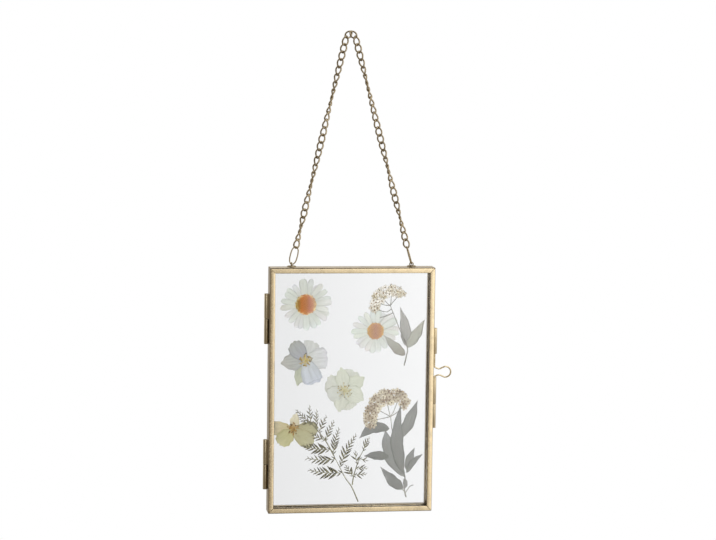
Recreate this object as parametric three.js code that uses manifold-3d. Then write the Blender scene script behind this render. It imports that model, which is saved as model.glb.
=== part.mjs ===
// Pressed flower frame: two hinged brass halves, each with a glass pane, hung on a twisted chain.
// Dried flowers, a fern frond and two leafy sprigs lie between the panes.
// Millimetres, +Z up, front towards -Y. The origin is the point of the nail that holds the chain.
import * as THREE from 'three';
import { mergeVertices } from 'three/addons/utils/BufferGeometryUtils.js';
import Module from 'manifold-3d';

const wasm = await Module();
wasm.setup();

// ---------------------------------------------------------------- driving dimensions
const FRAME_WIDTH = 103.8;
const FRAME_HEIGHT = 154.5;
const HALF_DEPTH = 5.85;       // depth of one half of the frame
const PARTING_GAP = 0.3;       // between the closed halves
const STRIP = 0.7;             // thickness of the folded brass strip
const LIP = 3.3;               // width of the lip that faces the viewer
const PANE_WIDTH = 99;
const PANE_THICKNESS = 1.8;
const PANE_RECESS = 0.45;      // the pane lies this far behind the parting face

const HANG_HEIGHT = 223.2;     // from the frame's middle up to the nail
const NAIL_OFFSET = 2.1;       // the nail catches the chain this far left of the frame's middle
const LINK_PITCH = 4.5;
const LINK_WIRE = 0.9;
const LINK_WIDTH = 4.2;
const TOP_LINK_RADIUS = 1.9;   // of the wire's centre line at the ends of the link on the nail
const TOP_LINK_PULL = 2;       // half of that link's straight run
const HOOK_ANGLE = 65;         // degrees below the level where each strand hooks into it
// quarter turns that a strand has made, at shares of its length below the nail
const LEFT_TWIST = [[0, 1], [0.05, 2], [0.29, 3], [0.51, 4], [0.67, 5], [0.8, 6], [0.91, 7], [1, 7]];
const RIGHT_TWIST = [[0, 1], [0.05, 2], [0.22, 3], [0.5, 4], [0.66, 5], [0.78, 6], [0.87, 7], [0.95, 8], [1, 8]];

const HINGE_RADIUS = 1.4;
const HINGE_BORE = 0.65;
const HINGE_PIN = 0.4;
const KNUCKLE_LENGTH = 15.6;
const KNUCKLE_GAP = 0.3;
const UPPER_HINGE_Z = 45.1;
const LOWER_HINGE_Z = -46.8;

const BARREL_RADIUS = 1.3;
const BARREL_BORE = 0.8;
const BOLT_RADIUS = 0.5;
const UPPER_BARREL = { foot: 22.2, top: 38.5 };
const MIDDLE_BARREL = { foot: -9.4, top: 7.2 };
const LOWER_BARREL = { foot: -25, top: -9.7 };
const BOLT_TOP_Z = 27.2;
const BOLT_FOOT_Z = -17.5;
const WALL_CLEARANCE = 0.15;   // between a barrel and the frame that it doesn't belong to

const LUG_X = { left: -37.6, right: 38.1 };
const RING_WIRE = 0.9;
const RING_WIDTH = 4.8;
const RING_LENGTH = 12.2;

const LAYER_PITCH = 0.28;      // the pressed specimens lie in flat layers on the back pane
const LAYER_THICKNESS = 0.2;
const LAYER_START = 0.05;
const ARRANGEMENT_X = -0.6;     // the specimens' own middle lies this far from the frame's

// ---------------------------------------------------------------- places worked out from them
const backFront = -HALF_DEPTH / 2;                     // parting face of the back half
const backRear = HALF_DEPTH / 2;
const frontRear = backFront - PARTING_GAP;             // parting face of the front half
const frontFace = frontRear - HALF_DEPTH;
const hingeY = (backFront + frontRear) / 2;
const paneHeight = FRAME_HEIGHT - (FRAME_WIDTH - PANE_WIDTH);
const backPaneFront = backFront + PANE_RECESS;
const legDepth = HALF_DEPTH - PANE_RECESS - PANE_THICKNESS - 0.05;

// ---------------------------------------------------------------- materials
const metal = (colour, roughness) => new THREE.MeshStandardMaterial({ color: colour, roughness, metalness: 1 });
const matt = (colour, roughness = 0.8) => new THREE.MeshStandardMaterial({ color: colour, roughness, metalness: 0 });
const finishes = {
  brass: () => metal(0xc9b27c, 0.35),
  darkBrass: () => metal(0x8a7a62, 0.4),
  glass: () => new THREE.MeshStandardMaterial({
    color: 0xf4f8f6, roughness: 0.05, metalness: 0, transparent: true, opacity: 0.18,
  }),
  whitePetal: () => matt(0xdfe4da),
  daisyDisc: () => matt(0xd9923a, 0.9),
  bluePetal: () => matt(0xc3c8d0),
  greenPetal: () => matt(0xcdd0bd),
  yellowPetal: () => matt(0xc9c690),
  stamen: () => matt(0xb59a45, 0.9),
  fern: () => matt(0x6f7259),
  cluster: () => matt(0xd8cdb0, 0.95),
  stem: () => matt(0x7c7d72),
  leaf: () => matt(0x92958a),
};

// ---------------------------------------------------------------- shape helpers
/** A named mesh of one sub-part. */
function piece(name, geometry, finish, place = [0, 0, 0]) {
  const mesh = new THREE.Mesh(geometry, finishes[finish]());
  mesh.name = name;
  mesh.position.set(...place);
  return mesh;
}

/** Positions only, with shared corners merged. */
function bare(geometry) {
  const copy = geometry.clone();
  copy.deleteAttribute('normal');
  copy.deleteAttribute('uv');
  return mergeVertices(copy, 1e-4);
}

/** A closed three.js geometry as a solid that can be joined. */
function solid(geometry) {
  const merged = bare(geometry);
  return new wasm.Manifold(new wasm.Mesh({
    numProp: 3,
    vertProperties: new Float32Array(merged.attributes.position.array),
    triVerts: new Uint32Array(merged.index.array),
  }));
}

/** Joins overlapping closed geometries into one. */
function join(geometries) {
  const whole = geometries.map(solid).reduce((sum, next) => sum.add(next)).getMesh();
  const result = new THREE.BufferGeometry();
  result.setAttribute('position', new THREE.BufferAttribute(whole.vertProperties, 3));
  result.setIndex(new THREE.BufferAttribute(whole.triVerts, 1));
  return result;
}

/** A ring about the Y axis whose quarters are pulled apart to an oval or, with four segments, a mitred rectangle. */
function stretchedRing(profile, segments, pullX, pullZ) {
  const points = [...profile, profile[0]].map(([radius, y]) => new THREE.Vector2(radius, y));
  const halfStep = Math.PI / segments;
  const ring = new THREE.LatheGeometry(points, segments, halfStep);
  const place = ring.attributes.position;
  const grow = 1 / Math.cos(halfStep);
  for (let i = 0; i < place.count; i += 1) {
    const x = place.getX(i) * grow;
    const z = place.getZ(i) * grow;
    place.setXYZ(i, x + Math.sign(x) * pullX, place.getY(i), z + Math.sign(z) * pullZ);
  }
  return bare(ring);
}

/** A flat sheet cut to an outline of [x, y] points, lying on the XY plane. */
function cutSheet(outline, thickness = LAYER_THICKNESS, holes = []) {
  const shape = new THREE.Shape(outline.map(([x, y]) => new THREE.Vector2(x, y)));
  shape.holes = holes.map((hole) => new THREE.Path(hole.map(([x, y]) => new THREE.Vector2(x, y))));
  return new THREE.ExtrudeGeometry(shape, { depth: thickness, bevelEnabled: false });
}

/** A smooth curve that is cut at even shares of its control points, so that straight runs cost few faces. */
class StationCurve extends THREE.CatmullRomCurve3 {
  getPointAt(share, target) {
    return this.getPoint(share, target);
  }

  getTangentAt(share, target) {
    return this.getTangent(share, target);
  }

  getSpacedPoints(count) {
    return this.getPoints(count);
  }
}

/** Round wire that follows a list of [x, y, z] points. */
function wire(points, radius, sides, stepsPerSpan) {
  const path = new StationCurve(points.map((point) => new THREE.Vector3(...point)), false, 'centripetal');
  const section = new THREE.Shape();
  section.absarc(0, 0, radius, 0, 2 * Math.PI);
  return new THREE.ExtrudeGeometry(section, {
    extrudePath: path,
    steps: stepsPerSpan * (points.length - 1),
    curveSegments: sides / 2,
    bevelEnabled: false,
  });
}

// ---------------------------------------------------------------- brass halves and panes
/** Section of one folded half: a lip, a long outer leg and a short inner leg that the pane rests on. */
function channelProfile(faceY, inwards) {
  const outer = LIP + 6;
  const inner = outer - LIP;
  const round = 0.55;
  const deep = (depth) => faceY + inwards * depth;
  const points = [
    [outer - round, deep(0)],
    [outer, deep(round)],
    [outer, deep(HALF_DEPTH)],
    [outer - STRIP, deep(HALF_DEPTH)],
    [outer - STRIP, deep(STRIP)],
    [inner + STRIP, deep(STRIP)],
    [inner + STRIP, deep(legDepth)],
    [inner, deep(legDepth)],
    [inner, deep(round / 2)],
    [inner + round / 2, deep(0)],
  ];
  return { points: inwards > 0 ? points : points.reverse(), outer };
}

/** One half of the frame, folded from strip and mitred at the corners. */
function frameHalf(name, faceY, inwards) {
  const { points, outer } = channelProfile(faceY, inwards);
  const ring = stretchedRing(points, 4, FRAME_WIDTH / 2 - outer, FRAME_HEIGHT / 2 - outer);
  return piece(name, ring, 'brass');
}

function pane(name, middleY) {
  return piece(name, new THREE.BoxGeometry(PANE_WIDTH, PANE_THICKNESS, paneHeight), 'glass', [0, middleY, 0]);
}

// ---------------------------------------------------------------- hinges and latch
/** A barrel along Z with a flat foot that is soldered to the wall of one half. side: -1 left, 1 right. half: -1 front, 1 back. */
function barrel(name, radius, bore, foot, top, side, half) {
  const reach = radius + WALL_CLEARANCE - 0.03;
  const seam = 0.3;
  const outline = new THREE.Shape();
  outline.moveTo(reach, -seam);
  outline.lineTo(Math.sqrt(radius ** 2 - seam ** 2), -seam);
  outline.absarc(0, 0, radius, -Math.asin(seam / radius), 1.5 * Math.PI, false);
  outline.lineTo(reach, -radius);
  const hole = new THREE.Path();
  hole.absarc(0, 0, bore, 0, 2 * Math.PI, true);
  outline.holes.push(hole);
  const tube = new THREE.ExtrudeGeometry(outline, { depth: top - foot, curveSegments: 5, bevelEnabled: false });
  const flipX = -side;
  const flipY = -half;
  tube.scale(flipX, flipY, 1);
  if (flipX * flipY < 0) {
    turnFacesOut(tube);
  }
  const axisX = side * (FRAME_WIDTH / 2 + WALL_CLEARANCE + radius);
  return piece(name, bare(tube), 'brass', [axisX, hingeY, foot]);
}

/** A mirrored geometry has its faces inside out, so two corners of each triangle change places. */
function turnFacesOut(geometry) {
  const place = geometry.attributes.position;
  const first = new THREE.Vector3();
  const second = new THREE.Vector3();
  for (let i = 0; i < place.count; i += 3) {
    first.fromBufferAttribute(place, i);
    second.fromBufferAttribute(place, i + 1);
    place.setXYZ(i, second.x, second.y, second.z);
    place.setXYZ(i + 1, first.x, first.y, first.z);
  }
}

/** One left hinge: the door's knuckle rides on the back half's knuckle, with a pin through both. */
function hinge(name, middleZ) {
  const half = KNUCKLE_GAP / 2;
  const top = middleZ + half + KNUCKLE_LENGTH;
  const foot = middleZ - half - KNUCKLE_LENGTH;
  const pin = new THREE.CylinderGeometry(HINGE_PIN, HINGE_PIN, top - foot - 0.4, 10);
  pin.rotateX(Math.PI / 2);
  const pinX = -(FRAME_WIDTH / 2 + WALL_CLEARANCE + HINGE_RADIUS);
  return [
    barrel(`${name}_front_knuckle`, HINGE_RADIUS, HINGE_BORE, middleZ + half, top, -1, -1),
    barrel(`${name}_back_knuckle`, HINGE_RADIUS, HINGE_BORE, foot, middleZ - half, -1, 1),
    piece(`${name}_pin`, pin, 'brass', [pinX, hingeY, middleZ]),
  ];
}

/** The latch bolt: one wire with an omega-shaped finger loop in its middle. */
function latchBolt() {
  const loopTop = 13.3;
  const loopFoot = 8;
  const neck = 3;
  const eyeX = 7.1;
  const eyeZ = (loopTop + loopFoot) / 2;
  const eyeRadius = 3.4;
  const eye = [125, 85, 45, 0, -45, -85, -125].map((degrees) => {
    const angle = THREE.MathUtils.degToRad(degrees);
    return [eyeX + eyeRadius * Math.cos(angle), 0, eyeZ + eyeRadius * Math.sin(angle)];
  });
  const points = [
    [0, 0, BOLT_TOP_Z],
    [0, 0, loopTop + 1.2],
    [0.5, 0, loopTop + 0.2],
    [neck, 0, loopTop - 0.7],
    ...eye,
    [neck, 0, loopFoot + 0.7],
    [0.5, 0, loopFoot - 0.1],
    [0, 0, loopFoot - 1.1],
    [0, 0, BOLT_FOOT_Z],
  ];
  const axisX = FRAME_WIDTH / 2 + WALL_CLEARANCE + BARREL_RADIUS;
  return piece('latch_bolt', bare(wire(points, BOLT_RADIUS, 6, 2)), 'brass', [axisX, hingeY, 0]);
}

function latch() {
  const common = [BARREL_RADIUS, BARREL_BORE];
  return [
    barrel('latch_upper_barrel', ...common, UPPER_BARREL.foot, UPPER_BARREL.top, 1, 1),
    barrel('latch_middle_barrel', ...common, MIDDLE_BARREL.foot, MIDDLE_BARREL.top, 1, 1),
    barrel('latch_lower_barrel', ...common, LOWER_BARREL.foot, LOWER_BARREL.top, 1, -1),
    latchBolt(),
  ];
}

// ---------------------------------------------------------------- lugs, rings and chain
/** A soldered eye on the frame's top edge. turn: the eye's axis, 0 along Y, a quarter turn along X. */
function lug(name, x, turn) {
  const padHeight = 0.4;
  const eyeRadius = 1.1;
  const eyeWire = 0.36;
  const pad = new THREE.CylinderGeometry(2.5, 2.85, padHeight, 12);
  pad.rotateX(Math.PI / 2);
  pad.translate(0, 0, padHeight / 2);
  const eye = new THREE.TorusGeometry(eyeRadius, eyeWire, 5, 12);
  eye.rotateX(Math.PI / 2);
  eye.rotateZ(turn);
  eye.translate(0, 0, eyeRadius + eyeWire + 0.04);
  return piece(name, join([pad, eye]), 'brass', [x, 0, FRAME_HEIGHT / 2 + 0.03]);
}

/** Foot, direction and end of a strand. It runs straight from its jump ring up to the top link. */
function strandLine(side) {
  const ringFoot = new THREE.Vector3(side < 0 ? LUG_X.left : LUG_X.right, 0, FRAME_HEIGHT / 2 + 1.08);
  const angle = THREE.MathUtils.degToRad(HOOK_ANGLE);
  const hooked = new THREE.Vector3(
    side * (TOP_LINK_PULL + TOP_LINK_RADIUS * Math.cos(angle)) - NAIL_OFFSET,
    0,
    HANG_HEIGHT - TOP_LINK_RADIUS * (1 + Math.sin(angle)) + LINK_WIRE / 2,
  );
  const along = hooked.clone().sub(ringFoot).normalize();
  const hook = 0.2 * LINK_PITCH + 0.3 + RING_WIRE / 2;
  const foot = ringFoot.clone().addScaledVector(along, RING_LENGTH - RING_WIRE / 2 - hook);
  const end = hooked.clone().addScaledVector(along, hook);
  return { ringFoot, foot, along, length: foot.distanceTo(end), lean: Math.atan2(along.x, along.z) };
}

/** A ring of round wire in the XZ plane, pulled out to an oval. */
function wireRing(middleRadius, wireRadius, sides, segments, pullX, pullZ) {
  const section = Array.from({ length: sides }, (_, i) => {
    const angle = (2 * Math.PI * i) / sides;
    return [middleRadius + wireRadius * Math.cos(angle), wireRadius * Math.sin(angle)];
  });
  return stretchedRing(section, segments, pullX, pullZ);
}

/** An oval jump ring that leans along its strand. turn: about its own long axis. */
function jumpRing(name, side, turn) {
  const pull = (RING_LENGTH - RING_WIDTH) / 2;
  const ring = wireRing((RING_WIDTH - RING_WIRE) / 2, RING_WIRE / 2, 6, 14, 0, pull);
  ring.rotateZ(turn);
  const { ringFoot, along, lean } = strandLine(side);
  const mesh = piece(name, ring, 'darkBrass', ringFoot.addScaledVector(along, RING_LENGTH / 2).toArray());
  mesh.rotation.y = lean;
  return mesh;
}

/** The link that hangs on the nail and holds both strands. */
function topLink() {
  const ring = wireRing(TOP_LINK_RADIUS, LINK_WIRE / 2, 6, 12, TOP_LINK_PULL, 0);
  const middle = HANG_HEIGHT - TOP_LINK_RADIUS + LINK_WIRE / 2;
  return piece('chain_top_link', ring, 'darkBrass', [-NAIL_OFFSET, 0, middle]);
}

/** Turn of a strand about its own line, at a share of its length below the nail. */
function strandTurn(share, twist) {
  const next = Math.max(1, twist.findIndex(([mark]) => mark >= Math.min(share, 1)));
  const [fromShare, fromTurns] = twist[next - 1];
  const [toShare, toTurns] = twist[next];
  const turns = fromTurns + ((share - fromShare) / (toShare - fromShare)) * (toTurns - fromTurns);
  return (turns * Math.PI) / 2;
}

/** One strand of the twisted curb chain, its links joined end to end. */
function chainStrand(name, side, twist) {
  const { foot, lean, length } = strandLine(side);
  const links = Math.round(length / LINK_PITCH);
  const pitch = length / links;
  const wide = LINK_WIDTH / 2;
  const pinch = wide - 1.05;
  const slot = 0.55;
  const hole = wide - LINK_WIRE;
  const edge = [];
  const holes = [];
  for (let i = 0; i < links; i += 1) {
    const at = (share) => (i + share) * pitch;
    edge.push([pinch, at(0)], [wide, at(0.3)], [wide, at(0.7)]);
    holes.push([
      [slot, at(0.2)], [hole, at(0.5)], [slot, at(0.8)],
      [-slot, at(0.8)], [-hole, at(0.5)], [-slot, at(0.2)],
    ]);
  }
  edge.push([pinch, length]);
  const outline = [...edge, ...edge.map(([x, y]) => [-x, y]).reverse()];
  const band = bare(cutSheet(outline, LINK_WIRE, holes));
  const place = band.attributes.position;
  const point = new THREE.Vector3();
  const up = new THREE.Vector3(0, 0, 1);
  for (let i = 0; i < place.count; i += 1) {
    point.fromBufferAttribute(place, i);
    const along = point.y;
    point.set(point.x, LINK_WIRE / 2 - point.z, 0).applyAxisAngle(up, strandTurn(1 - along / length, twist));
    place.setXYZ(i, point.x, point.y, along);
  }
  const mesh = piece(name, band, 'darkBrass', foot.toArray());
  mesh.rotation.y = lean;
  return mesh;
}

// ---------------------------------------------------------------- pressed specimens
/** Outline of a leaf about its midrib: [x, y] points from base to tip. */
function leafOutline(midrib, width, stations = 7, belly = 0.85) {
  const rib = new THREE.SplineCurve(midrib.map(([x, y]) => new THREE.Vector2(x, y)));
  const left = [];
  const right = [];
  for (let i = 1; i < stations; i += 1) {
    const share = i / stations;
    const middle = rib.getPointAt(share);
    const along = rib.getTangentAt(share);
    const half = (width / 2) * Math.sin(Math.PI * share ** belly) ** 0.75;
    right.push([middle.x + along.y * half, middle.y - along.x * half]);
    left.push([middle.x - along.y * half, middle.y + along.x * half]);
  }
  return [midrib[0], ...right, midrib[midrib.length - 1], ...left.reverse()];
}

/** Outline of a thin stem that tapers from foot width to tip width. */
function stemOutline(points, footWidth, tipWidth) {
  const line = new THREE.SplineCurve(points.map(([x, y]) => new THREE.Vector2(x, y)));
  const steps = points.length - 1;
  const left = [];
  const right = [];
  for (let i = 0; i <= steps; i += 1) {
    const share = i / steps;
    const middle = line.getPoint(share);
    const along = line.getTangent(share);
    const half = (footWidth + (tipWidth - footWidth) * share) / 2;
    right.push([middle.x + along.y * half, middle.y - along.x * half]);
    left.push([middle.x - along.y * half, middle.y + along.x * half]);
  }
  return [...right, ...left.reverse()];
}

/** A mesh that lies on a numbered layer above the back pane; thick pieces take several layers. */
function pressed(name, geometry, finish, layer, place = [0, 0]) {
  return piece(name, geometry, finish, [place[0], place[1], LAYER_START + layer * LAYER_PITCH]);
}

/** A ring of narrow round-ended petals, all joined round the middle. */
function daisyPetals(radius, petals, phase) {
  const outline = [];
  for (let i = 0; i < petals; i += 1) {
    const pitch = (2 * Math.PI) / petals;
    const middle = phase + i * pitch;
    const reach = radius * (0.955 + 0.045 * Math.sin(2.4 * i + phase));
    const add = (share, length) => {
      const angle = middle + share * pitch;
      outline.push([length * Math.cos(angle), length * Math.sin(angle)]);
    };
    add(-0.5, reach * 0.66);
    add(-0.37, reach * 0.88);
    add(-0.15, reach);
    add(0.15, reach);
    add(0.37, reach * 0.88);
  }
  return cutSheet(outline);
}

/** The daisy's low round disc of florets. */
function daisyDisc(radius, height) {
  const dome = [[0, 0], [radius, 0], [radius * 0.97, height * 0.5], [radius * 0.7, height], [0, height]];
  const disc = new THREE.LatheGeometry(dome.map(([r, y]) => new THREE.Vector2(r, y)), 16);
  disc.rotateX(Math.PI / 2);
  return bare(disc);
}

/** A tuft of stamens: a small star of thin threads. */
function stamenTuft(radius, threads, phase) {
  const outline = [];
  for (let i = 0; i < threads * 2; i += 1) {
    const angle = phase + (Math.PI * i) / threads;
    const reach = i % 2 ? radius * 0.45 : radius * (0.85 + 0.15 * Math.sin(3.1 * i));
    outline.push([reach * Math.cos(angle), reach * Math.sin(angle)]);
  }
  return cutSheet(outline);
}

/** A flat-topped head of tiny florets: a lumpy band about an arc. */
function floretBand(arc, width, lumps) {
  const line = new THREE.SplineCurve(arc.map(([x, y]) => new THREE.Vector2(x, y)));
  const steps = lumps * 3;
  const outer = [];
  const inner = [];
  for (let i = 0; i <= steps; i += 1) {
    const share = i / steps;
    const middle = line.getPointAt(share);
    const along = line.getTangentAt(share);
    const end = Math.sin(Math.PI * (0.12 + 0.76 * share)) ** 0.5;
    const lump = i % 3 ? 1 : 0.8;
    outer.push([middle.x - along.y * (width / 2) * end * lump, middle.y + along.x * (width / 2) * end * lump]);
    if (i % 2 === 0) {
      inner.push([middle.x + along.y * (width / 2) * end * 0.9, middle.y - along.x * (width / 2) * end * 0.9]);
    }
  }
  return cutSheet([...inner, ...outer.reverse()]);
}

/** One pinna of the fern: a toothed blade whose teeth slant towards its tip. */
function pinnaOutline(base, tip, teeth, width) {
  const from = new THREE.Vector2(...base);
  const along = new THREE.Vector2(...tip).sub(from);
  const length = along.length();
  along.normalize();
  const across = new THREE.Vector2(-along.y, along.x);
  const at = (share, out) => {
    const point = from.clone().addScaledVector(along, share * length).addScaledVector(across, out);
    return [point.x, point.y];
  };
  const side = (sign) => {
    const points = [at(0, sign * 0.22)];
    for (let i = 0; i < teeth; i += 1) {
      const share = 0.12 + (0.68 * i) / teeth;
      const out = sign * width * (0.5 - (0.22 * i) / teeth);
      points.push(at(share, sign * 0.24), at(share + 0.2, out), at(share + 0.09, sign * 0.26));
    }
    points.push(at(0.86, sign * 0.3));
    return points;
  };
  return [...side(-1), tip, ...side(1).reverse()];
}

function largeDaisy() {
  const place = [-28.2, 53.9];
  return [
    pressed('large_daisy_petals', daisyPetals(16.6, 18, 0.1), 'whitePetal', 0, place),
    pressed('large_daisy_disc', daisyDisc(6.7, 0.6), 'daisyDisc', 1, place),
  ];
}

function smallDaisy() {
  const place = [15.9, 37];
  return [
    pressed('small_daisy_petals', daisyPetals(15.4, 17, 0.3), 'whitePetal', 1, place),
    pressed('small_daisy_disc', daisyDisc(5.8, 0.45), 'daisyDisc', 2, place),
  ];
}

function blueBlossom() {
  const place = [-28.1, 19];
  const outline = [
    [-8.5, 2.5], [-10.5, 4.1], [-10.9, 7.5], [-8.9, 10], [-6, 11.4], [-3.5, 11.7], [-1.6, 9.8],
    [-0.2, 10.8], [3, 11.5], [5.8, 11.2], [7.3, 8.5], [7.4, 4.6],
    [11.7, 4.2], [13.2, 1], [13.4, -1.3], [11.7, -5.7], [10.4, -7.2],
    [10.5, -11], [9.6, -13.3], [3.1, -15.4], [1, -14.6], [-1.5, -15.1],
    [-5.6, -16.6], [-6.4, -14], [-6.2, -11], [-5.6, -7.2],
    [-7.2, -5.7], [-10, -5.9], [-13.2, -5.6], [-15.4, -2.6], [-13.5, 0], [-10, 1.7],
  ];
  return [
    pressed('blue_blossom_petals', cutSheet(outline.reverse()), 'bluePetal', 0, place),
    pressed('blue_blossom_stamens', stamenTuft(4, 9, 0.3), 'stamen', 1, place),
  ];
}

function greenBlossom() {
  const place = [-3.3, 0];
  const outline = [
    [-3.2, 13.5], [0.6, 10.6], [6.7, 11.1], [7.3, 8.6], [11.8, 6.7], [13.9, 3.7], [11.4, -0.2], [12.7, -4.7],
    [12, -7.1], [5.3, -10.4], [1.8, -13.6], [-1, -12.6], [-4.5, -14.5], [-7.1, -7.4], [-11, -3.5],
    [-12.1, 3.1], [-10.3, 8.1], [-5.4, 8.3],
  ];
  return [
    pressed('green_blossom_petals', cutSheet(outline.reverse()), 'greenPetal', 0, place),
    pressed('green_blossom_stamens', stamenTuft(3.6, 10, 0.1), 'stamen', 1, place),
  ];
}

function yellowBlossom() {
  const place = [-35.2, -25.3];
  const outline = [
    [-1.6, 10.6], [0.2, 11.6], [3.8, 8.4], [4.6, 5.8], [10.1, 4.6], [14, 2.5], [13.6, -2.5], [11.6, -7.5],
    [8.2, -9.4], [5, -8.4], [0.4, -6], [-3.8, -7.6], [-8, -9.4], [-12.2, -7.8], [-13.6, -3.5],
    [-13.8, 2.2], [-12, 4.3], [-7, 4], [-4.2, 3.6], [-3, 6.5],
  ];
  return [
    pressed('yellow_blossom_petals', cutSheet(outline.reverse()), 'yellowPetal', 0, place),
    pressed('yellow_blossom_stamens', stamenTuft(3.4, 8, 0.6), 'stamen', 1, place),
  ];
}

/** Part of a fern frond. pinnae: share of the rachis where each leaves it, its tip, teeth on each side, width. */
function frond(name, rachis, pinnae, layer) {
  const line = new THREE.SplineCurve(rachis.map(([x, y]) => new THREE.Vector2(x, y)));
  const blades = pinnae.map(([share, tip, teeth, width]) => (
    cutSheet(pinnaOutline(line.getPoint(share).toArray(), tip, teeth, width))
  ));
  const spine = cutSheet(stemOutline(rachis, 0.75, 0.45));
  return pressed(name, join([spine, ...blades]), 'fern', layer);
}

function fern() {
  const stalk = [[6.3, -71.6], [2.1, -62.2], [-2, -56.4], [-5.9, -49], [-9.4, -42.2]];
  const stalkPinnae = [
    [0.6, [-24.5, -51], 5, 8.5],
    [0.9, [-26.3, -43.5], 5, 8],
    [0.73, [4.3, -29.2], 5, 7.5],
  ];
  const top = [[-9.4, -42.2], [-14.7, -32.6], [-19.8, -26], [-24.8, -20.4]];
  const topPinnae = [
    [0.14, [-29, -35.4], 4, 7.5],
    [0.05, [-6.6, -25.1], 3, 5.5],
    [0.36, [-23.7, -27.4], 2, 5],
    [0.34, [-9.8, -20.3], 3, 5],
    [0.6, [-14.6, -17], 3, 4.5],
    [0.76, [-20.5, -13.3], 2, 4.2],
    [0.92, [-31.3, -18.4], 2, 4],
    [0.96, [-25.1, -10.1], 3, 4],
    [0.97, [-33.5, -12.6], 3, 4],
  ];
  const side = [[2.5, -60.9], [3.2, -56], [4.6, -50.6], [6.8, -44], [9.6, -38]];
  const sidePinnae = [
    [0.28, [-1.6, -48.5], 3, 4.2],
    [0.3, [10.9, -54.2], 3, 4.2],
    [0.52, [11.6, -50.6], 3, 4],
    [0.6, [4.4, -39.6], 3, 4],
    [0.74, [12, -45.6], 3, 3.6],
    [0.96, [12.9, -31], 5, 4.4],
  ];
  return [
    frond('fern_stalk', stalk, stalkPinnae, 1),
    frond('fern_top', top, topPinnae, 2),
    frond('fern_side_branch', side, sidePinnae, 0),
  ];
}

/** Several stalks joined to one flat piece. */
function stalks(lines, footWidth, tipWidth) {
  return join(lines.map((line) => cutSheet(stemOutline(line, footWidth, tipWidth))));
}

function upperSprig() {
  const fork = [25, 53];
  const stem = stalks([
    [[34.4, 15], [35.8, 21.3], [36.2, 26.4], [31, 38.5], fork],
    [fork, [25.6, 57.2]],
    [fork, [21.5, 55.5]],
    [fork, [20, 52.4]],
    [[26, 51], [21.5, 48.4]],
  ], 0.8, 0.55);
  const arc = [[14.6, 50], [15.6, 55], [19.1, 59.8], [25, 62.2], [34, 60.6]];
  return [
    pressed('upper_sprig_stem', stem, 'stem', 2),
    pressed('upper_sprig_florets', floretBand(arc, 8, 9), 'cluster', 3),
    pressed('upper_sprig_leaf_1', cutSheet(leafOutline([[35.2, 27.5], [35.1, 38], [31.5, 51.9]], 6.6)), 'leaf', 0),
    pressed('upper_sprig_leaf_2', cutSheet(leafOutline([[36.2, 26.2], [41.6, 34.2], [47.1, 43.9]], 6.4)), 'leaf', 1),
    pressed('upper_sprig_leaf_3', cutSheet(leafOutline([[34.8, 21.6], [29, 26.4], [21.3, 34.2]], 6)), 'leaf', 2),
  ];
}

function lowerSprig() {
  const stem = stalks([
    [[37, -69.4], [35.8, -64], [36, -56], [33, -48], [29.5, -36], [27.6, -27], [26.3, -17.6]],
    [[36.4, -66.8], [39.4, -62.6], [41.6, -61.6]],
    [[36, -65.6], [33.4, -63.6]],
    [[26.3, -17.6], [30.4, -11]],
    [[26.3, -17.6], [24, -11.8]],
    [[26.3, -17.6], [20.6, -15.8]],
  ], 1, 0.6);
  const arc = [[13.4, -23.6], [13.8, -15], [17.8, -8.4], [24.2, -4.8], [31.3, -5.2], [36.8, -10.4]];
  const leaves = [
    [[[35.9, -56.2], [28, -45], [24.4, -34], [23, -25.6]], 8.6, 1],
    [[[33.4, -30.8], [38.6, -20], [43.4, -7.5]], 7.2, 1],
    [[[34.6, -53], [31.2, -40], [30.6, -26], [32.6, -9.5]], 8.2, 2],
    [[[25.6, -25.2], [15, -24.4], [6.4, -31.1]], 7.2, 2],
    [[[25.4, -43.4], [18, -42.2], [9.6, -42.4]], 5.6, 2],
    [[[36.7, -51.6], [38.9, -44.4], [42, -37.6]], 4.6, 1],
    [[[37, -53.6], [41.2, -46.6], [47.2, -41.6]], 3.6, 2],
    [[[35.8, -57.2], [36.4, -61], [35.9, -64.2]], 2.8, 1],
    [[[35, -63.8], [28.4, -58.8], [20.2, -49.6]], 6.8, 2],
  ];
  return [
    pressed('lower_sprig_stem', stem, 'stem', 0),
    pressed('lower_sprig_florets', floretBand(arc, 10.4, 12), 'cluster', 3),
    ...leaves.map(([midrib, width, layer], i) => (
      pressed(`lower_sprig_leaf_${i + 1}`, cutSheet(leafOutline(midrib, width)), 'leaf', layer)
    )),
  ];
}

// ---------------------------------------------------------------- assembly
/** Specimens are drawn flat and stood up against the back pane, their layers counted towards the viewer. */
function specimens() {
  const group = new THREE.Group();
  group.rotation.x = Math.PI / 2;
  group.position.set(ARRANGEMENT_X, backPaneFront, 0);
  group.add(...largeDaisy(), ...smallDaisy(), ...blueBlossom(), ...greenBlossom(), ...yellowBlossom());
  group.add(...fern(), ...upperSprig(), ...lowerSprig());
  return group;
}

const frame = new THREE.Group();
frame.position.set(NAIL_OFFSET, 0, -HANG_HEIGHT);
frame.add(frameHalf('back_frame', backRear, -1), frameHalf('front_frame', frontFace, 1));
frame.add(pane('back_glass', backPaneFront + PANE_THICKNESS / 2));
frame.add(pane('front_glass', frontRear - PANE_RECESS - PANE_THICKNESS / 2));
frame.add(...hinge('upper_hinge', UPPER_HINGE_Z), ...hinge('lower_hinge', LOWER_HINGE_Z), ...latch());
frame.add(lug('left_lug', LUG_X.left, Math.PI / 2), lug('right_lug', LUG_X.right, 0));
frame.add(jumpRing('left_ring', -1, 0), jumpRing('right_ring', 1, Math.PI / 2));
frame.add(chainStrand('chain_left', -1, LEFT_TWIST), chainStrand('chain_right', 1, RIGHT_TWIST), topLink());
frame.add(specimens());

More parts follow.
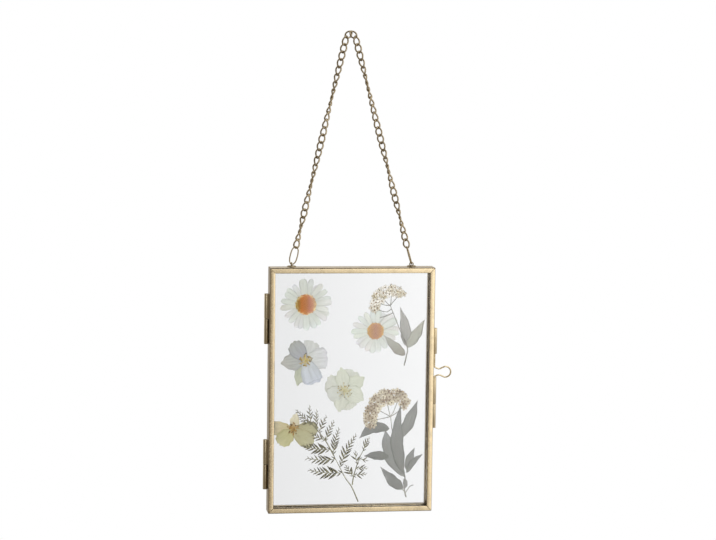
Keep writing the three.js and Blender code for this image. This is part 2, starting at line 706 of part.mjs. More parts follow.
export default frame;
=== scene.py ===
# %% [markdown]
# # Pressed flower frame
# A slim brass frame holds dried flowers between two panes and hangs on a twisted chain. The packed
# model gives every place and size; this script gives each piece its fine shape and its finish.
# Lengths are in millimetres unless a line says otherwise, and `MM` turns them into metres.

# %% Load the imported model
import math
import random

import bmesh
import bpy
from mathutils import Matrix, Vector


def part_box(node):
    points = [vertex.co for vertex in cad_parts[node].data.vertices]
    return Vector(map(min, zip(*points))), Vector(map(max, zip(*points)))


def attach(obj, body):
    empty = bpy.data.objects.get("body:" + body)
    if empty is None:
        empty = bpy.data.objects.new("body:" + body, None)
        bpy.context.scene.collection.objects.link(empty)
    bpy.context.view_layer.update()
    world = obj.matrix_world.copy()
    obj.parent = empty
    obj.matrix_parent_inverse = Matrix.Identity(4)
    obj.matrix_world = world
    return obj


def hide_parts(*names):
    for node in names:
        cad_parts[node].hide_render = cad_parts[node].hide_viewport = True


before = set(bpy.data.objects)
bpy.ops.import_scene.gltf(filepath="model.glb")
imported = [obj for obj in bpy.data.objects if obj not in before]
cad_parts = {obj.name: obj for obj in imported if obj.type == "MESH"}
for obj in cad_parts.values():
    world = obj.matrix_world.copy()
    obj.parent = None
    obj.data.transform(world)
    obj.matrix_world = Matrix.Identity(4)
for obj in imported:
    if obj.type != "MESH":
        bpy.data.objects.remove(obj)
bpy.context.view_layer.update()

MM = 0.001

# %% [markdown]
# ## Where things are
# All pressed pieces are drawn on the plane of the frame, so one helper turns a place measured from
# the middle of the frame (x to the right, z up) into a point of the model. The flowers are laid a
# hair to the left of that middle, so they have a helper of their own.

# %% The frame's middle and the layers
frame_low, frame_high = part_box("front_frame")
middle = (frame_low + frame_high) / 2
front_face = frame_low.y
parting_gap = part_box("back_frame")[0].y - frame_high.y
hinge_depth = frame_high.y + parting_gap / 2
ARRANGEMENT_X = -0.6


def on_frame(x, z, y):
    """A point x and z millimetres from the frame's middle, at depth y in metres."""
    return Vector((middle.x + x * MM, y, middle.z + z * MM))


def spot(x, z, y):
    """The same, measured from the middle of the flower arrangement."""
    return on_frame(x + ARRANGEMENT_X, z, y)


def layer_of(node_name):
    """Depth of the middle of a pressed node's layer."""
    low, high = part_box(node_name)
    return (low.y + high.y) / 2


print("middle", tuple(round(v, 4) for v in middle), "front face", round(front_face, 5))

# %% [markdown]
# ## Helpers for meshes
# Most pieces are sheets or tubes, so they can be written as points and faces. A smooth curve
# through a few measured points saves writing many. Attributes are values that each vertex carries
# along, for a material or a geometry tree to read.

# %% Smooth lines and new meshes


def smooth_line(points, count):
    """`count` points on a smooth curve through the given ones (a Catmull-Rom spline)."""
    vectors = [Vector(p).to_3d() for p in points]
    ends = [2 * vectors[0] - vectors[1], *vectors, 2 * vectors[-1] - vectors[-2]]
    spans = len(vectors) - 1
    line = []
    for step in range(count):
        place = step / (count - 1) * spans
        i = min(int(place), spans - 1)
        t = place - i
        a, b, c, d = ends[i:i + 4]
        line.append(0.5 * (2 * b + (c - a) * t + (2 * a - 5 * b + 4 * c - d) * t * t
                           + (3 * b - a - 3 * c + d) * t ** 3))
    return line


def added(name, data):
    """A new object that is linked to the scene."""
    made = bpy.data.objects.new(name, data)
    bpy.context.scene.collection.objects.link(made)
    return made


def store(mesh, **attributes):
    """Gives every vertex its value of each attribute."""
    for name, values in attributes.items():
        mesh.attributes.new(name, "FLOAT", "POINT").data.foreach_set("value", values)


def new_mesh(name, vertices, faces, edges=(), **attributes):
    """A mesh with smooth faces. Each attribute holds one value for every vertex."""
    mesh = bpy.data.meshes.new(name)
    mesh.from_pydata([tuple(v) for v in vertices], edges, faces)
    store(mesh, **attributes)
    mesh.shade_smooth()
    return mesh


# %% [markdown]
# Light needs faces that point outwards, so every closed form has its doubles merged and its normals
# worked out again. A modifier's result is taken as a plain mesh. The finished object stays at the
# origin, so that it can ride on its body and a pattern on its own coordinates stays in place.

# %% From meshes to finished pieces


def settled(work, mesh):
    """Turns the faces of a bmesh outwards and keeps it as a mesh."""
    bmesh.ops.recalc_face_normals(work, faces=work.faces)
    work.to_mesh(mesh)
    work.free()
    return mesh


def facing_out(mesh):
    """Merges doubles and turns every face outwards."""
    work = bmesh.new()
    work.from_mesh(mesh)
    bmesh.ops.remove_doubles(work, verts=work.verts, dist=1e-7)
    settled(work, mesh).shade_smooth()
    return mesh


def evaluated(source):
    """The plain mesh that an object's modifier makes. The object itself is removed."""
    bpy.context.view_layer.update()
    shown = source.evaluated_get(bpy.context.evaluated_depsgraph_get())
    mesh = bpy.data.meshes.new_from_object(shown)
    bpy.data.objects.remove(source)
    return mesh


def modified(mesh, kind, **settings):
    """Runs a mesh through one modifier."""
    source = added("source", mesh)
    modifier = source.modifiers.new(kind, kind)
    for name, value in settings.items():
        setattr(modifier, name, value)
    return evaluated(source)


def place_piece(name, mesh, material, node_name, body="back_half"):
    """Links a piece that rides on a body and stands for a node. Its slot is that of its finish,
    whose name Blender may have ended with a number, because the solids have finishes too."""
    mesh.name = name
    piece = added(name, mesh)
    mesh.materials.clear()
    mesh.materials.append(material)
    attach(piece, body)
    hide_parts(node_name)
    print(f"{name}: {sum(len(p.vertices) - 2 for p in mesh.polygons)} triangles")


# %% [markdown]
# A tube sweeps a round section along a line. Every wire here lies in one plane, so the plane's
# normal and the line's direction are enough to stand the section up without any twist.

# %% Sweep a round wire along a line


def ring_faces(rings, sides, closed=False):
    """Faces between rings of vertices; closed joins the last ring to the first."""
    pairs = [(i * sides, (i + 1) % rings * sides) for i in range(rings if closed else rings - 1)]
    return [(a + k, a + (k + 1) % sides, b + (k + 1) % sides, b + k)
            for a, b in pairs for k in range(sides)]


def tube(points, radii, sides=10, normal=(0, 1, 0), closed=False, flat=1.0):
    """Vertices and faces of a wire. `flat` presses its section along the plane's normal."""
    count = len(points)
    radii = radii if isinstance(radii, (list, tuple)) else [radii] * count
    normal = Vector(normal).normalized()
    vertices = []
    for i, point in enumerate(points):
        before = points[i - 1] if closed or i else point
        after = points[(i + 1) % count] if closed or i < count - 1 else point
        side = (after - before).normalized().cross(normal)
        for k in range(sides):
            angle = math.tau * k / sides
            vertices.append(point + radii[i] * (side * math.cos(angle)
                                                + normal * flat * math.sin(angle)))
    faces = ring_faces(count, sides, closed)
    if not closed:
        faces += [tuple(reversed(range(sides))), tuple(range((count - 1) * sides, count * sides))]
    return vertices, faces


def joined(parts):
    """Several (vertices, faces) pairs as one."""
    vertices, faces = [], []
    for part_vertices, part_faces in parts:
        start = len(vertices)
        vertices.extend(part_vertices)
        faces.extend(tuple(start + i for i in face) for face in part_faces)
    return vertices, faces


# %% [markdown]
# ## Helpers for node trees
# Materials and geometry trees are both made of nodes. Linking them by hand hides the idea behind a
# finish, so one small class adds a node in a line: a value that is a socket is linked, and anything
# else is set on the input itself.

# %% Build node trees with few words


class Tree:
    """A node tree and short words for the nodes that this model needs."""

    def __init__(self, tree):
        self.tree = tree

    def feed(self, made, inputs):
        """Links or sets a node's inputs."""
        for key, value in inputs.items():
            if isinstance(value, bpy.types.NodeSocket):
                self.tree.links.new(value, made.inputs[key])
            else:
                made.inputs[key].default_value = value

    def node(self, kind, *values, **named):
        """Adds a node. A name with a capital is an input's, and a small one is a setting's."""
        made = self.tree.nodes.new(kind)
        inputs = dict(enumerate(values))
        for name, value in named.items():
            if name[0].isupper():
                inputs[name.replace("_", " ")] = value
            else:
                setattr(made, name, value)
        self.feed(made, inputs)
        return made

    def out(self, kind, *values, **named):
        """Adds a node and gives its first output."""
        return self.node(kind, *values, **named).outputs[0]

    def math(self, operation, *values):
        return self.out("ShaderNodeMath", *values, operation=operation)

    def times(self, first, second):
        return self.math("MULTIPLY", first, second)

    def plus(self, first, second):
        return self.math("ADD", first, second)

    def vector(self, x=0.0, y=0.0, z=0.0):
        return self.out("ShaderNodeCombineXYZ", x, y, z)

    def span(self, value, low, high, to_low=0.0, to_high=1.0):
        """A value moved from one range to another and clamped."""
        return self.out("ShaderNodeMapRange", Value=value, From_Min=low, From_Max=high,
                        To_Min=to_low, To_Max=to_high)

    def own_place(self):
        """The piece's own coordinates, in metres."""
        return self.node("ShaderNodeTexCoord").outputs["Object"]

    def noise(self, scale, detail=3.0, vector=None):
        """Noise; `scale` counts features in a metre of the piece."""
        return self.out("ShaderNodeTexNoise", Vector=vector or self.own_place(), Scale=scale,
                        Detail=detail, Roughness=0.55)

    def mix(self, factor, first, second, way="MIX"):
        """Two colours mixed by a factor."""
        made = self.node("ShaderNodeMix", data_type="RGBA", blend_type=way)
        self.feed(made, {0: factor, 6: first, 7: second})
        return made.outputs[2]

    def ramp(self, factor, *stops):
        """A colour ramp; stops are (place, colour)."""
        made = self.node("ShaderNodeValToRGB", Fac=factor)
        elements = made.color_ramp.elements
        while len(elements) < len(stops):
            elements.new(0.5)
        for element, (place, colour) in zip(elements, stops):
            element.position, element.color = place, colour
        return made.outputs["Color"]

    def carried(self, name):
        """A value that the mesh carries."""
        return self.node("ShaderNodeAttribute", attribute_name=name).outputs["Fac"]

    def raise_skin(self, shader, height, distance, strength):
        """Bump of a real height in metres."""
        bump = self.out("ShaderNodeBump", Height=height, Distance=distance, Strength=strength)
        self.feed(shader, {"Normal": bump})


# %% [markdown]
# Colours are easiest to name as a screen shows them, but Blender works in linear light, so a helper
# turns one into the other. Every material starts from the Principled shader, whose inputs a tree of
# its own can feed.

# %% Colours and new materials


def shade(red, green, blue):
    """A colour named by its screen values, 0 to 255, as Blender's linear light."""
    return tuple(((c / 255 + 0.055) / 1.055) ** 2.4 if c > 10 else c / 3295
                 for c in (red, green, blue)) + (1,)


def new_material(name, roughness, metallic=0.0):
    """A material with its tree and its shader."""
    material = bpy.data.materials.new(name)
    material.use_nodes = True
    tree, shader = Tree(material.node_tree), material.node_tree.nodes["Principled BSDF"]
    tree.feed(shader, {"Roughness": roughness, "Metallic": metallic})
    return material, tree, shader


# %% [markdown]
# ## Camera
# The view is from the left and above, a little rolled, through a long lens: verticals stay nearly
# parallel. The camera is made first, because everything else is judged through it.

# %% Camera
LENS, SENSOR = 110.6, 36
CAMERA_X, CAMERA_Z, CAMERA_AWAY = -197.4, 223.7, 1344.1
LOOK_RIGHT, LOOK_DOWN, ROLL = (math.radians(a) for a in (8.5, 6.2, 0.75))
camera_data = bpy.data.cameras.new("camera")
camera_data.sensor_width, camera_data.lens = SENSOR, LENS
camera = added("camera", camera_data)
camera.rotation_mode = "QUATERNION"
camera_turn = (Matrix.Rotation(-LOOK_RIGHT, 4, "Z") @ Matrix.Rotation(-LOOK_DOWN, 4, "X")
               @ Matrix.Rotation(-ROLL, 4, "Y") @ Matrix.Rotation(math.pi / 2, 4, "X"))
camera_place = spot(CAMERA_X, CAMERA_Z, front_face) + Vector((0, -CAMERA_AWAY * MM, 0))
camera.matrix_world = Matrix.Translation(camera_place) @ camera_turn
bpy.context.scene.camera = camera
print("camera at", tuple(round(v, 3) for v in camera.location))

# %% [markdown]
# ## Studio
# A pale floor lies far below the hanging frame. The world is plain white to look at and through,
# and stronger where it lights the dried flowers. Mirror reflections see a grey room instead, with a
# broad soft window ahead on the right: brass needs something darker than white to show its folds,
# and the window's soft edge makes panes and lips brighten from the lower left to the upper right.

# %% World
DIM_AHEAD, WINDOW_LIGHT = (0.22, 0.19, 0.15, 1), (2.8, 2.76, 2.7, 1)
WALL_FOOT, WALL_HEAD = (0.6, 0.575, 0.55, 1), (0.9, 0.88, 0.86, 1)
DAYLIGHT = 2.3      # how much stronger the world is where it lights something matt
world = bpy.data.worlds.new("studio")
bpy.context.scene.world = world
world.use_nodes = True
world.node_tree.nodes.clear()
sky = Tree(world.node_tree)
path = sky.node("ShaderNodeLightPath").outputs
everywhere = sky.node("ShaderNodeTexCoord").outputs["Generated"]
way = sky.node("ShaderNodeSeparateXYZ", Vector=everywhere).outputs
window = sky.times(sky.span(way["X"], 0.1, 0.19), sky.span(way["Z"], -0.3, 0.15, 0.3, 0.97))
window = sky.times(window, sky.span(way["X"], 0.2, 0.4, 1.0, 0.6))
ahead = sky.mix(window, DIM_AHEAD, WINDOW_LIGHT)
wall = sky.mix(sky.span(way["Z"], -0.05, 0.1), WALL_FOOT, WALL_HEAD)
room = sky.mix(sky.span(way["Y"], -0.25, 0.35), ahead, wall)
mirrored = sky.math("GREATER_THAN", path["Glossy Depth"], 0.5)
scattered = sky.math("GREATER_THAN", path["Diffuse Depth"], 0.5)
background = sky.out("ShaderNodeBackground", Color=sky.mix(mirrored, (1, 1, 1, 1), room),
                     Strength=sky.span(scattered, 0.0, 1.0, 1.0, DAYLIGHT))
sky.node("ShaderNodeOutputWorld", Surface=background)
bpy.context.scene.view_settings.view_transform = "Standard"
print("sky nodes:", len(world.node_tree.nodes))

# %% [markdown]
# The floor is matt, and mirrors don't see it: brass that faces down then shows the dim room, not a
# bright floor. A broad warm panel behind the frame draws a thin light along its edges.

# %% Floor and rim light
FLOOR_DROP, FLOOR_REACH = 0.75, 1.5      # metres
floor_corners = [(x * FLOOR_REACH, y * FLOOR_REACH, -FLOOR_DROP)
                 for x, y in ((-1, -1), (1, -1), (1, 1), (-1, 1))]
floor_mesh = new_mesh("floor", floor_corners, [(0, 1, 2, 3)])
floor_material, floor_tree, floor_shader = new_material("pale_floor", 0.9)
floor_tree.feed(floor_shader, {"Base Color": (0.93, 0.93, 0.93, 1)})
floor_mesh.materials.append(floor_material)
floor = added("floor", floor_mesh)
floor.visible_glossy = False

RIM_WIDE, RIM_HIGH, RIM_BRIGHTNESS = 0.7, 1.2, 0.8      # metres; 1 is as bright as white paper
rim_data = bpy.data.lights.new("rim_box", "AREA")
rim_data.shape = "RECTANGLE"
rim_data.size, rim_data.size_y = RIM_WIDE, RIM_HIGH
rim_data.energy = RIM_BRIGHTNESS * math.pi * RIM_WIDE * RIM_HIGH
rim_data.color = (1.0, 0.96, 0.9)
rim_box = added("rim_box", rim_data)
rim_box.location = (-1.6, 0.5, 0.6)
rim_box.rotation_mode = "QUATERNION"
rim_box.rotation_quaternion = Vector((1.6, -0.5, -0.8)).to_track_quat("-Z", "Y")
print("rim light watts:", round(rim_data.energy, 2))

# %% [markdown]
# ## Brass
# The strip is pale brass with a thin antique wash: satin on the lips, darker where fingers and
# polish don't reach. A value stored on the mesh, `recess`, says how dark a place is
# painted: the wash in the folds, and painted shade on the inner leg of the front half, on the
# outer folds of the level bars and on the wall at the hinge side. It follows the fold and not
# the position in space, so it is stored on the mesh. Noise stretched along the strip gives draw
# marks.

# %% Brass finishes
MOTTLE, SPECKS, DRAW_MARKS = 160.0, 1400.0, (900.0, 900.0, 60.0)      # features in a metre
WORN_TONE = 0.93


def brass(name, bright, dark, roughness):
    """Pale brass with a dark wash and painted shade, mottling and fine draw marks."""
    material, tree, shader = new_material(name, roughness, metallic=1.0)
    place = tree.own_place()
    mottle, specks = tree.noise(MOTTLE, 4.0, place), tree.noise(SPECKS, 2.0, place)
    streaks = tree.noise(1.0, 3.0, tree.out("ShaderNodeMapping", Vector=place, Scale=DRAW_MARKS))
    # the stored wash and painted shade, with mottling on top
    wash_and_shade_amount = tree.plus(tree.carried("recess"), tree.span(mottle, 0.5, 0.8, 0.0, 0.2))
    worn = tuple(c * WORN_TONE for c in bright[:3]) + (1,)
    metal = tree.mix(tree.span(streaks, 0.35, 0.7), bright, worn)
    washed_and_shaded = tree.mix(tree.math("MINIMUM", wash_and_shade_amount, 1.0), metal, dark)
    dulled = tree.plus(tree.span(wash_and_shade_amount, 0.0, 1.0, roughness, roughness + 0.3),
                       tree.span(specks, 0.45, 0.75, -0.03, 0.08))
    tree.feed(shader, {"Base Color": washed_and_shaded, "Roughness": dulled})
    tree.raise_skin(shader, tree.plus(streaks, specks), 0.00002, 0.22)
    return material


FRAME_BRASS = brass("frame_brass", shade(242, 224, 188), shade(76, 61, 40), 0.24)
FITTING_BRASS = brass("fitting_brass", shade(232, 217, 183), shade(84, 70, 52), 0.24)
CHAIN_BRASS = brass("chain_brass", shade(192, 176, 146), shade(62, 50, 36), 0.3)
print("finishes:", FRAME_BRASS.name, FITTING_BRASS.name, CHAIN_BRASS.name)

# %% [markdown]
# ## The two brass halves
# Each half is one strip folded to a channel: an outer wall, a slightly crowned lip, and an inner
# leg that the pane rests on. The fold's section is drawn once and carried round the rectangle. At
# each mitre the section dips by a hair, which leaves the fine joint line of the solder.

# %% Section of the folded strip
STRIP, LIP, LEG_DEPTH = 0.7, 3.3, 3.55
SIDE_PLACES = (0.85, 0.4)      # shares of the depth at which the side wall has points
HALF_DEPTH = (frame_high.y - frame_low.y) / MM
OUTER_FOLD, INNER_FOLD, CROWN = 0.45, 0.3, 0.03
FOLD_STEPS, LIP_STEPS = 5, 12
# how dark the wall, its edge and the folds are painted: antique wash and painted shade together
WALL_RECESS, EDGE_RECESS = 0.12, 0.62
WASH_AND_SHADE_OUTSIDE = (0.5, 0.9, 1.0, 0.8, 0.4, 0.0)
WASH_AND_SHADE_INSIDE = (0.0, 0.1, 0.5, 0.9, 1.0, 0.9)


def arc(x, y, radius, start, end, steps):
    """Points on an arc, its angles in degrees."""
    angles = [math.radians(start + (end - start) * i / steps) for i in range(steps + 1)]
    return [(x + radius * math.cos(a), y + radius * math.sin(a)) for a in angles]


def folded_section(leg_recess):
    """(inward, depth, darkening) of each point, from the open edge of the wall to its inside."""
    points = [(0, HALF_DEPTH, EDGE_RECESS)]
    points += [(0, HALF_DEPTH * share, WALL_RECESS) for share in SIDE_PLACES]
    outer = arc(OUTER_FOLD, OUTER_FOLD + CROWN, OUTER_FOLD, 180, 270, FOLD_STEPS)
    points += [(u, v, darkening) for (u, v), darkening in zip(outer, WASH_AND_SHADE_OUTSIDE)]
    flat_from, flat_to = OUTER_FOLD, LIP - INNER_FOLD
    for i in range(1, LIP_STEPS):
        share = i / LIP_STEPS
        points.append((flat_from + (flat_to - flat_from) * share,
                       CROWN * (2 * share - 1) ** 2, 0.0))
    inner = arc(LIP - INNER_FOLD, INNER_FOLD + CROWN, INNER_FOLD, 270, 360, FOLD_STEPS)
    points += [(u, v, darkening) for (u, v), darkening in zip(inner, WASH_AND_SHADE_INSIDE)]
    inside = [(LIP, LEG_DEPTH), (LIP - STRIP, LEG_DEPTH), (LIP - STRIP, STRIP + CROWN),
              (STRIP, STRIP + CROWN), (STRIP, HALF_DEPTH)]
    return points + [(u, v, leg_recess) for u, v in inside]


print("section points:", len(folded_section(1.0)))

# %% [markdown]
# The outer folds carry painted shade on top of the wash: more along the level bars, less on the
# uprights and most on the side wall at the hinge side, so the darkening is scaled bar by bar.

# %% Carry the section round the rectangle
# scales of the painted shade on the outer folds
LEVEL_PAINTED_SHADE, UPRIGHT_PAINTED_SHADE, HINGE_WALL_PAINTED_SHADE = 2.4, 0.6, 3.6
# painted shade on the inner leg of the front half; the back half's leg has none
FRONT_LEG_SHADE, BACK_LEG_SHADE = 0.45, 0.0
MITRE_GAP, MITRE_DIP = 0.2, 0.22
SHARP = math.radians(50)      # folds tighter than this stay crisp


def inset(points, depth):
    """The section moved into its own metal, for the dip at a mitre."""
    moved = []
    for i, (u, v, _) in enumerate(points):
        ahead = Vector(points[(i + 1) % len(points)][:2]) - Vector(points[i - 1][:2])
        ahead.normalize()
        moved.append((u - ahead.y * depth, v + ahead.x * depth, 1.0))
    return moved


def brass_half(side, body, face_y, inwards, leg_recess):
    """One half of the frame. inwards is 1 for a half that faces the front, -1 for the other."""
    section = folded_section(leg_recess)
    dipped = inset(section, MITRE_DIP)
    low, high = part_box(f"{side}_frame")
    half_wide, half_high = (high.x - low.x) / 2 / MM, (high.z - low.z) / 2 / MM
    corners = [(-1, -1), (1, -1), (1, 1), (-1, 1)]
    vertices, recess = [], []
    for i, (side_x, side_z) in enumerate(corners):
        before, after = corners[i - 1], corners[(i + 1) % 4]
        for towards, points in ((before, section), (None, dipped), (after, section)):
            shift_x = (towards[0] - side_x) / 2 * MITRE_GAP if towards else 0
            shift_z = (towards[1] - side_z) / 2 * MITRE_GAP if towards else 0
            darkening = LEVEL_PAINTED_SHADE if towards and towards[1] == side_z else UPRIGHT_PAINTED_SHADE
            wall_darkening = HINGE_WALL_PAINTED_SHADE if darkening == UPRIGHT_PAINTED_SHADE and side_x < 0 else darkening
            for u, v, wash_and_shade_amount in points:
                vertices.append(on_frame(side_x * (half_wide - u) + shift_x,
                                         side_z * (half_high - u) + shift_z,
                                         face_y + inwards * v * MM))
                local = wall_darkening if v > OUTER_FOLD + CROWN else darkening
                outer = towards and u < OUTER_FOLD
                recess.append(min(wash_and_shade_amount * local, 1.0) if outer else wash_and_shade_amount)
    faces = ring_faces(len(corners) * 3, len(section), closed=True)
    name = f"{side}_brass_half"
    mesh = facing_out(new_mesh(name, vertices, faces, recess=recess))
    mesh.set_sharp_from_angle(angle=SHARP)
    place_piece(name, mesh, FRAME_BRASS, f"{side}_frame", body)


brass_half("front", "front_door", front_face, 1, FRONT_LEG_SHADE)
brass_half("back", "back_half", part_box("back_frame")[1].y, -1, BACK_LEG_SHADE)

# %% [markdown]
# ## Panes
# The panes are plain float glass with ground edges. Glass that really bends and reflects light
# needs no trick: full transmission, an index of refraction and almost no colour.

# %% Glass
GROUND_EDGE = 0.25
GLASS, glass_tree, glass_shader = new_material("clear_glass", 0.0)
glass_tree.feed(glass_shader, {"Base Color": (0.94, 0.945, 0.95, 1), "Transmission Weight": 1.0,
                               "IOR": 1.46})


def pane(side, body):
    """A pane with its edges ground to a small chamfer."""
    low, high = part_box(f"{side}_glass")
    work = bmesh.new()
    bmesh.ops.create_cube(work, size=1.0)
    for vertex in work.verts:
        vertex.co = [low[i] + (vertex.co[i] + 0.5) * (high[i] - low[i]) for i in range(3)]
    bmesh.ops.bevel(work, geom=list(work.edges), offset=GROUND_EDGE * MM, segments=1,
                    affect="EDGES")
    mesh = settled(work, bpy.data.meshes.new("pane"))
    place_piece(f"{side}_pane", mesh, GLASS, f"{side}_glass", body)


pane("front", "front_door")
pane("back", "back_half")

# %% [markdown]
# ## Hinges and latch barrels
# A barrel is a rolled tube with a solder foot on the wall of its own half. Its section is drawn
# round the bore and stretched along Z; a bevel softens the ends, as a file would leave them.

# %% Rolled barrels
WALL_GAP, SEAM, FILED_EDGE = 0.15, 0.3, 0.09
HINGE_BARREL, LATCH_BARREL = (1.39, 0.65), (1.3, 0.8)      # radius and bore
FOOT_SINK, FOOT_PLACE, FOOT_CURVE = 0.03, 0.62, 0.36
ROLL_END, ROLL_STEPS, BORE_STEPS = 262, 26, 24      # the first in degrees
BORE_RECESS, BARREL_RECESS, RIM_SHARP = 0.9, 0.25, math.radians(35)


def barrel(name, node_name, body, side, radius, bore):
    """side: -1 left, 1 right. The foot points to the half that the barrel is soldered to."""
    low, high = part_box(node_name)
    half = -1 if body == "front_door" else 1
    axis = side * ((frame_high.x - middle.x) / MM + WALL_GAP + radius)
    reach = radius + WALL_GAP - FOOT_SINK
    start = math.degrees(math.asin(SEAM / radius))
    outline = [(reach, -SEAM)] + arc(0, 0, radius, -start, ROLL_END, ROLL_STEPS)
    outline += arc(FOOT_PLACE * reach, -radius * FOOT_PLACE, radius * FOOT_CURVE, 215, 270, 4)
    outline.append((reach, -radius))
    work = bmesh.new()
    loops = []
    for points in (outline, arc(0, 0, bore, 0, 360, BORE_STEPS)[:-1]):
        corners = [work.verts.new(on_frame(axis - side * x, 0, hinge_depth - half * y * MM))
                   for x, y in points]
        loops += [work.edges.new((corners[i - 1], corners[i])) for i in range(len(corners))]
    bmesh.ops.triangle_fill(work, use_beauty=True, use_dissolve=False, edges=loops)
    for vertex in work.verts:
        vertex.co.z = low.z
    pulled = bmesh.ops.extrude_face_region(work, geom=list(work.faces))
    for part in pulled["geom"]:
        if isinstance(part, bmesh.types.BMVert):
            part.co.z = high.z
    mesh = modified(settled(work, bpy.data.meshes.new(name)), "BEVEL", width=FILED_EDGE * MM,
                    segments=2, limit_method="ANGLE", angle_limit=SHARP)
    away = [math.hypot((v.co.x - middle.x) / MM - axis, (v.co.y - hinge_depth) / MM)
            for v in mesh.vertices]
    store(mesh, recess=[BORE_RECESS if a < (bore + radius) / 2 else BARREL_RECESS for a in away])
    mesh.shade_smooth()
    mesh.set_sharp_from_angle(angle=RIM_SHARP)
    place_piece(name, mesh, FITTING_BRASS, node_name, body)


for hinge in ("upper_hinge", "lower_hinge"):
    barrel(f"{hinge}_door_barrel", f"{hinge}_front_knuckle", "front_door", -1, *HINGE_BARREL)
    barrel(f"{hinge}_fixed_barrel", f"{hinge}_back_knuckle", "back_half", -1, *HINGE_BARREL)
for level, body in (("upper", "back_half"), ("middle", "back_half"), ("lower", "front_door")):
    barrel(f"latch_tube_{level}", f"latch_{level}_barrel", body, 1, *LATCH_BARREL)

# %% [markdown]
# A hinge pin is a short wire with both ends peened over. The latch bolt is one wire with an omega
# loop for a fingernail; its line repeats the route of the solid bolt, with a smooth round section.

# %% Pins and bolt
WIRE_RECESS = 0.12
PEENED = [(0, 0.3), (0.15, 0.8), (0.4, 1), (0.8, 1)]      # rise from an end, share of the radius


def wire_piece(name, node_name, line, radii, material, body="back_half", **section):
    """A piece made of one wire; section holds what tube() takes besides."""
    vertices, faces = tube(line, radii, **section)
    mesh = facing_out(new_mesh(name, vertices, faces, recess=[WIRE_RECESS] * len(vertices)))
    mesh.set_sharp_from_angle(angle=SHARP)
    place_piece(name, mesh, material, node_name, body)


for hinge in ("upper_hinge", "lower_hinge"):
    low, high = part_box(f"{hinge}_pin")
    axis, radius = (low + high) / 2, (high.x - low.x) / 2
    ends = [(low.z + rise * MM, share) for rise, share in PEENED]
    ends += [(high.z - rise * MM, share) for rise, share in reversed(PEENED)]
    line = [Vector((axis.x, axis.y, z)) for z, _ in ends]
    wire_piece(f"{hinge}_peened_pin", f"{hinge}_pin", line, [radius * share for _, share in ends],
               FITTING_BRASS, sides=12)

BOLT_RADIUS, BOLT_AXIS = 0.5, 53.35
BOLT_TOP, BOLT_FOOT = 27.1, -17.4
LOOP_TOP, LOOP_FOOT = 13.3, 8.0
EYE_X, EYE_Z, EYE_RADIUS, EYE_OPENS = 7.05, 10.65, 3.38, 125      # the last in degrees
BOLT_POINTS = 120
bolt_route = [(0, BOLT_TOP), (0, LOOP_TOP + 4), (0, LOOP_TOP + 1.2), (0.5, LOOP_TOP + 0.2),
              (3, LOOP_TOP - 0.7), *arc(EYE_X, EYE_Z, EYE_RADIUS, EYE_OPENS, -EYE_OPENS, 8),
              (3, LOOP_FOOT + 0.7), (0.5, LOOP_FOOT - 0.1), (0, LOOP_FOOT - 1.1),
              (0, LOOP_FOOT - 4), (0, BOLT_FOOT)]
bolt_line = [on_frame(BOLT_AXIS + point.x, point.y, hinge_depth)
             for point in smooth_line(bolt_route, BOLT_POINTS)]
wire_piece("latch_bolt_wire", "latch_bolt", bolt_line, BOLT_RADIUS * MM, FITTING_BRASS,
           "latch_bolt", sides=14)

# %% [markdown]
# ## Lugs and jump rings
# Each lug is a small eye that stands in a flared drop of solder. The drop is a turned profile, the
# eye a closed wire. The jump rings are oval wire rings: the left one shows its face, the right one
# its edge.

# %% Solder feet with their eyes
LUG_X = {"left": -37.6, "right": 38.1}
EYE_ACROSS = {"left": Vector((0, 1, 0)), "right": Vector((1, 0, 0))}
LUG_EYE, LUG_WIRE, EYE_ABOVE, LUG_RECESS = 1.1, 0.36, 0.04, 0.6
LUG_SIDES, EYE_STEPS = 28, 32
FLARE = [(0, 0), (2.86, 0), (2.8, 0.4), (2.3, 0.66), (1.5, 0.74), (0.85, 0.8), (0.42, 0.86),
         (0, 0.88)]      # radius and rise


def lug(side):
    """A solder drop on the top bar with an eye in it."""
    base = Vector((middle.x + LUG_X[side] * MM, 0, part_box(f"{side}_lug")[0].z))
    angles = [math.tau * k / LUG_SIDES for k in range(LUG_SIDES)]
    drop = [base + Vector((radius * math.cos(a), radius * math.sin(a), rise)) * MM
            for radius, rise in FLARE for a in angles]
    across = EYE_ACROSS[side]
    centre = base + Vector((0, 0, LUG_EYE + LUG_WIRE + EYE_ABOVE)) * MM
    angles = [math.tau * i / EYE_STEPS for i in range(EYE_STEPS)]
    line = [centre + (across * math.cos(a) + Vector((0, 0, math.sin(a)))) * LUG_EYE * MM
            for a in angles]
    eye = tube(line, LUG_WIRE * MM, normal=across.cross(Vector((0, 0, 1))), closed=True)
    vertices, faces = joined([(drop, ring_faces(len(FLARE), LUG_SIDES)), eye])
    name = f"{side}_soldered_eye"
    mesh = facing_out(new_mesh(name, vertices, faces, recess=[LUG_RECESS] * len(vertices)))
    place_piece(name, mesh, FITTING_BRASS, f"{side}_lug")


lug("left")
lug("right")

# %% Jump rings
RING_WIRE, RING_LONG, RING_WIDE = 0.8, 12.2, 5.3
RING_LINE_LONG, RING_LINE_WIDE = (RING_LONG - RING_WIRE) * MM, (RING_WIDE - RING_WIRE) * MM
RING_STEPS, RING_FULLNESS = 48, 0.12


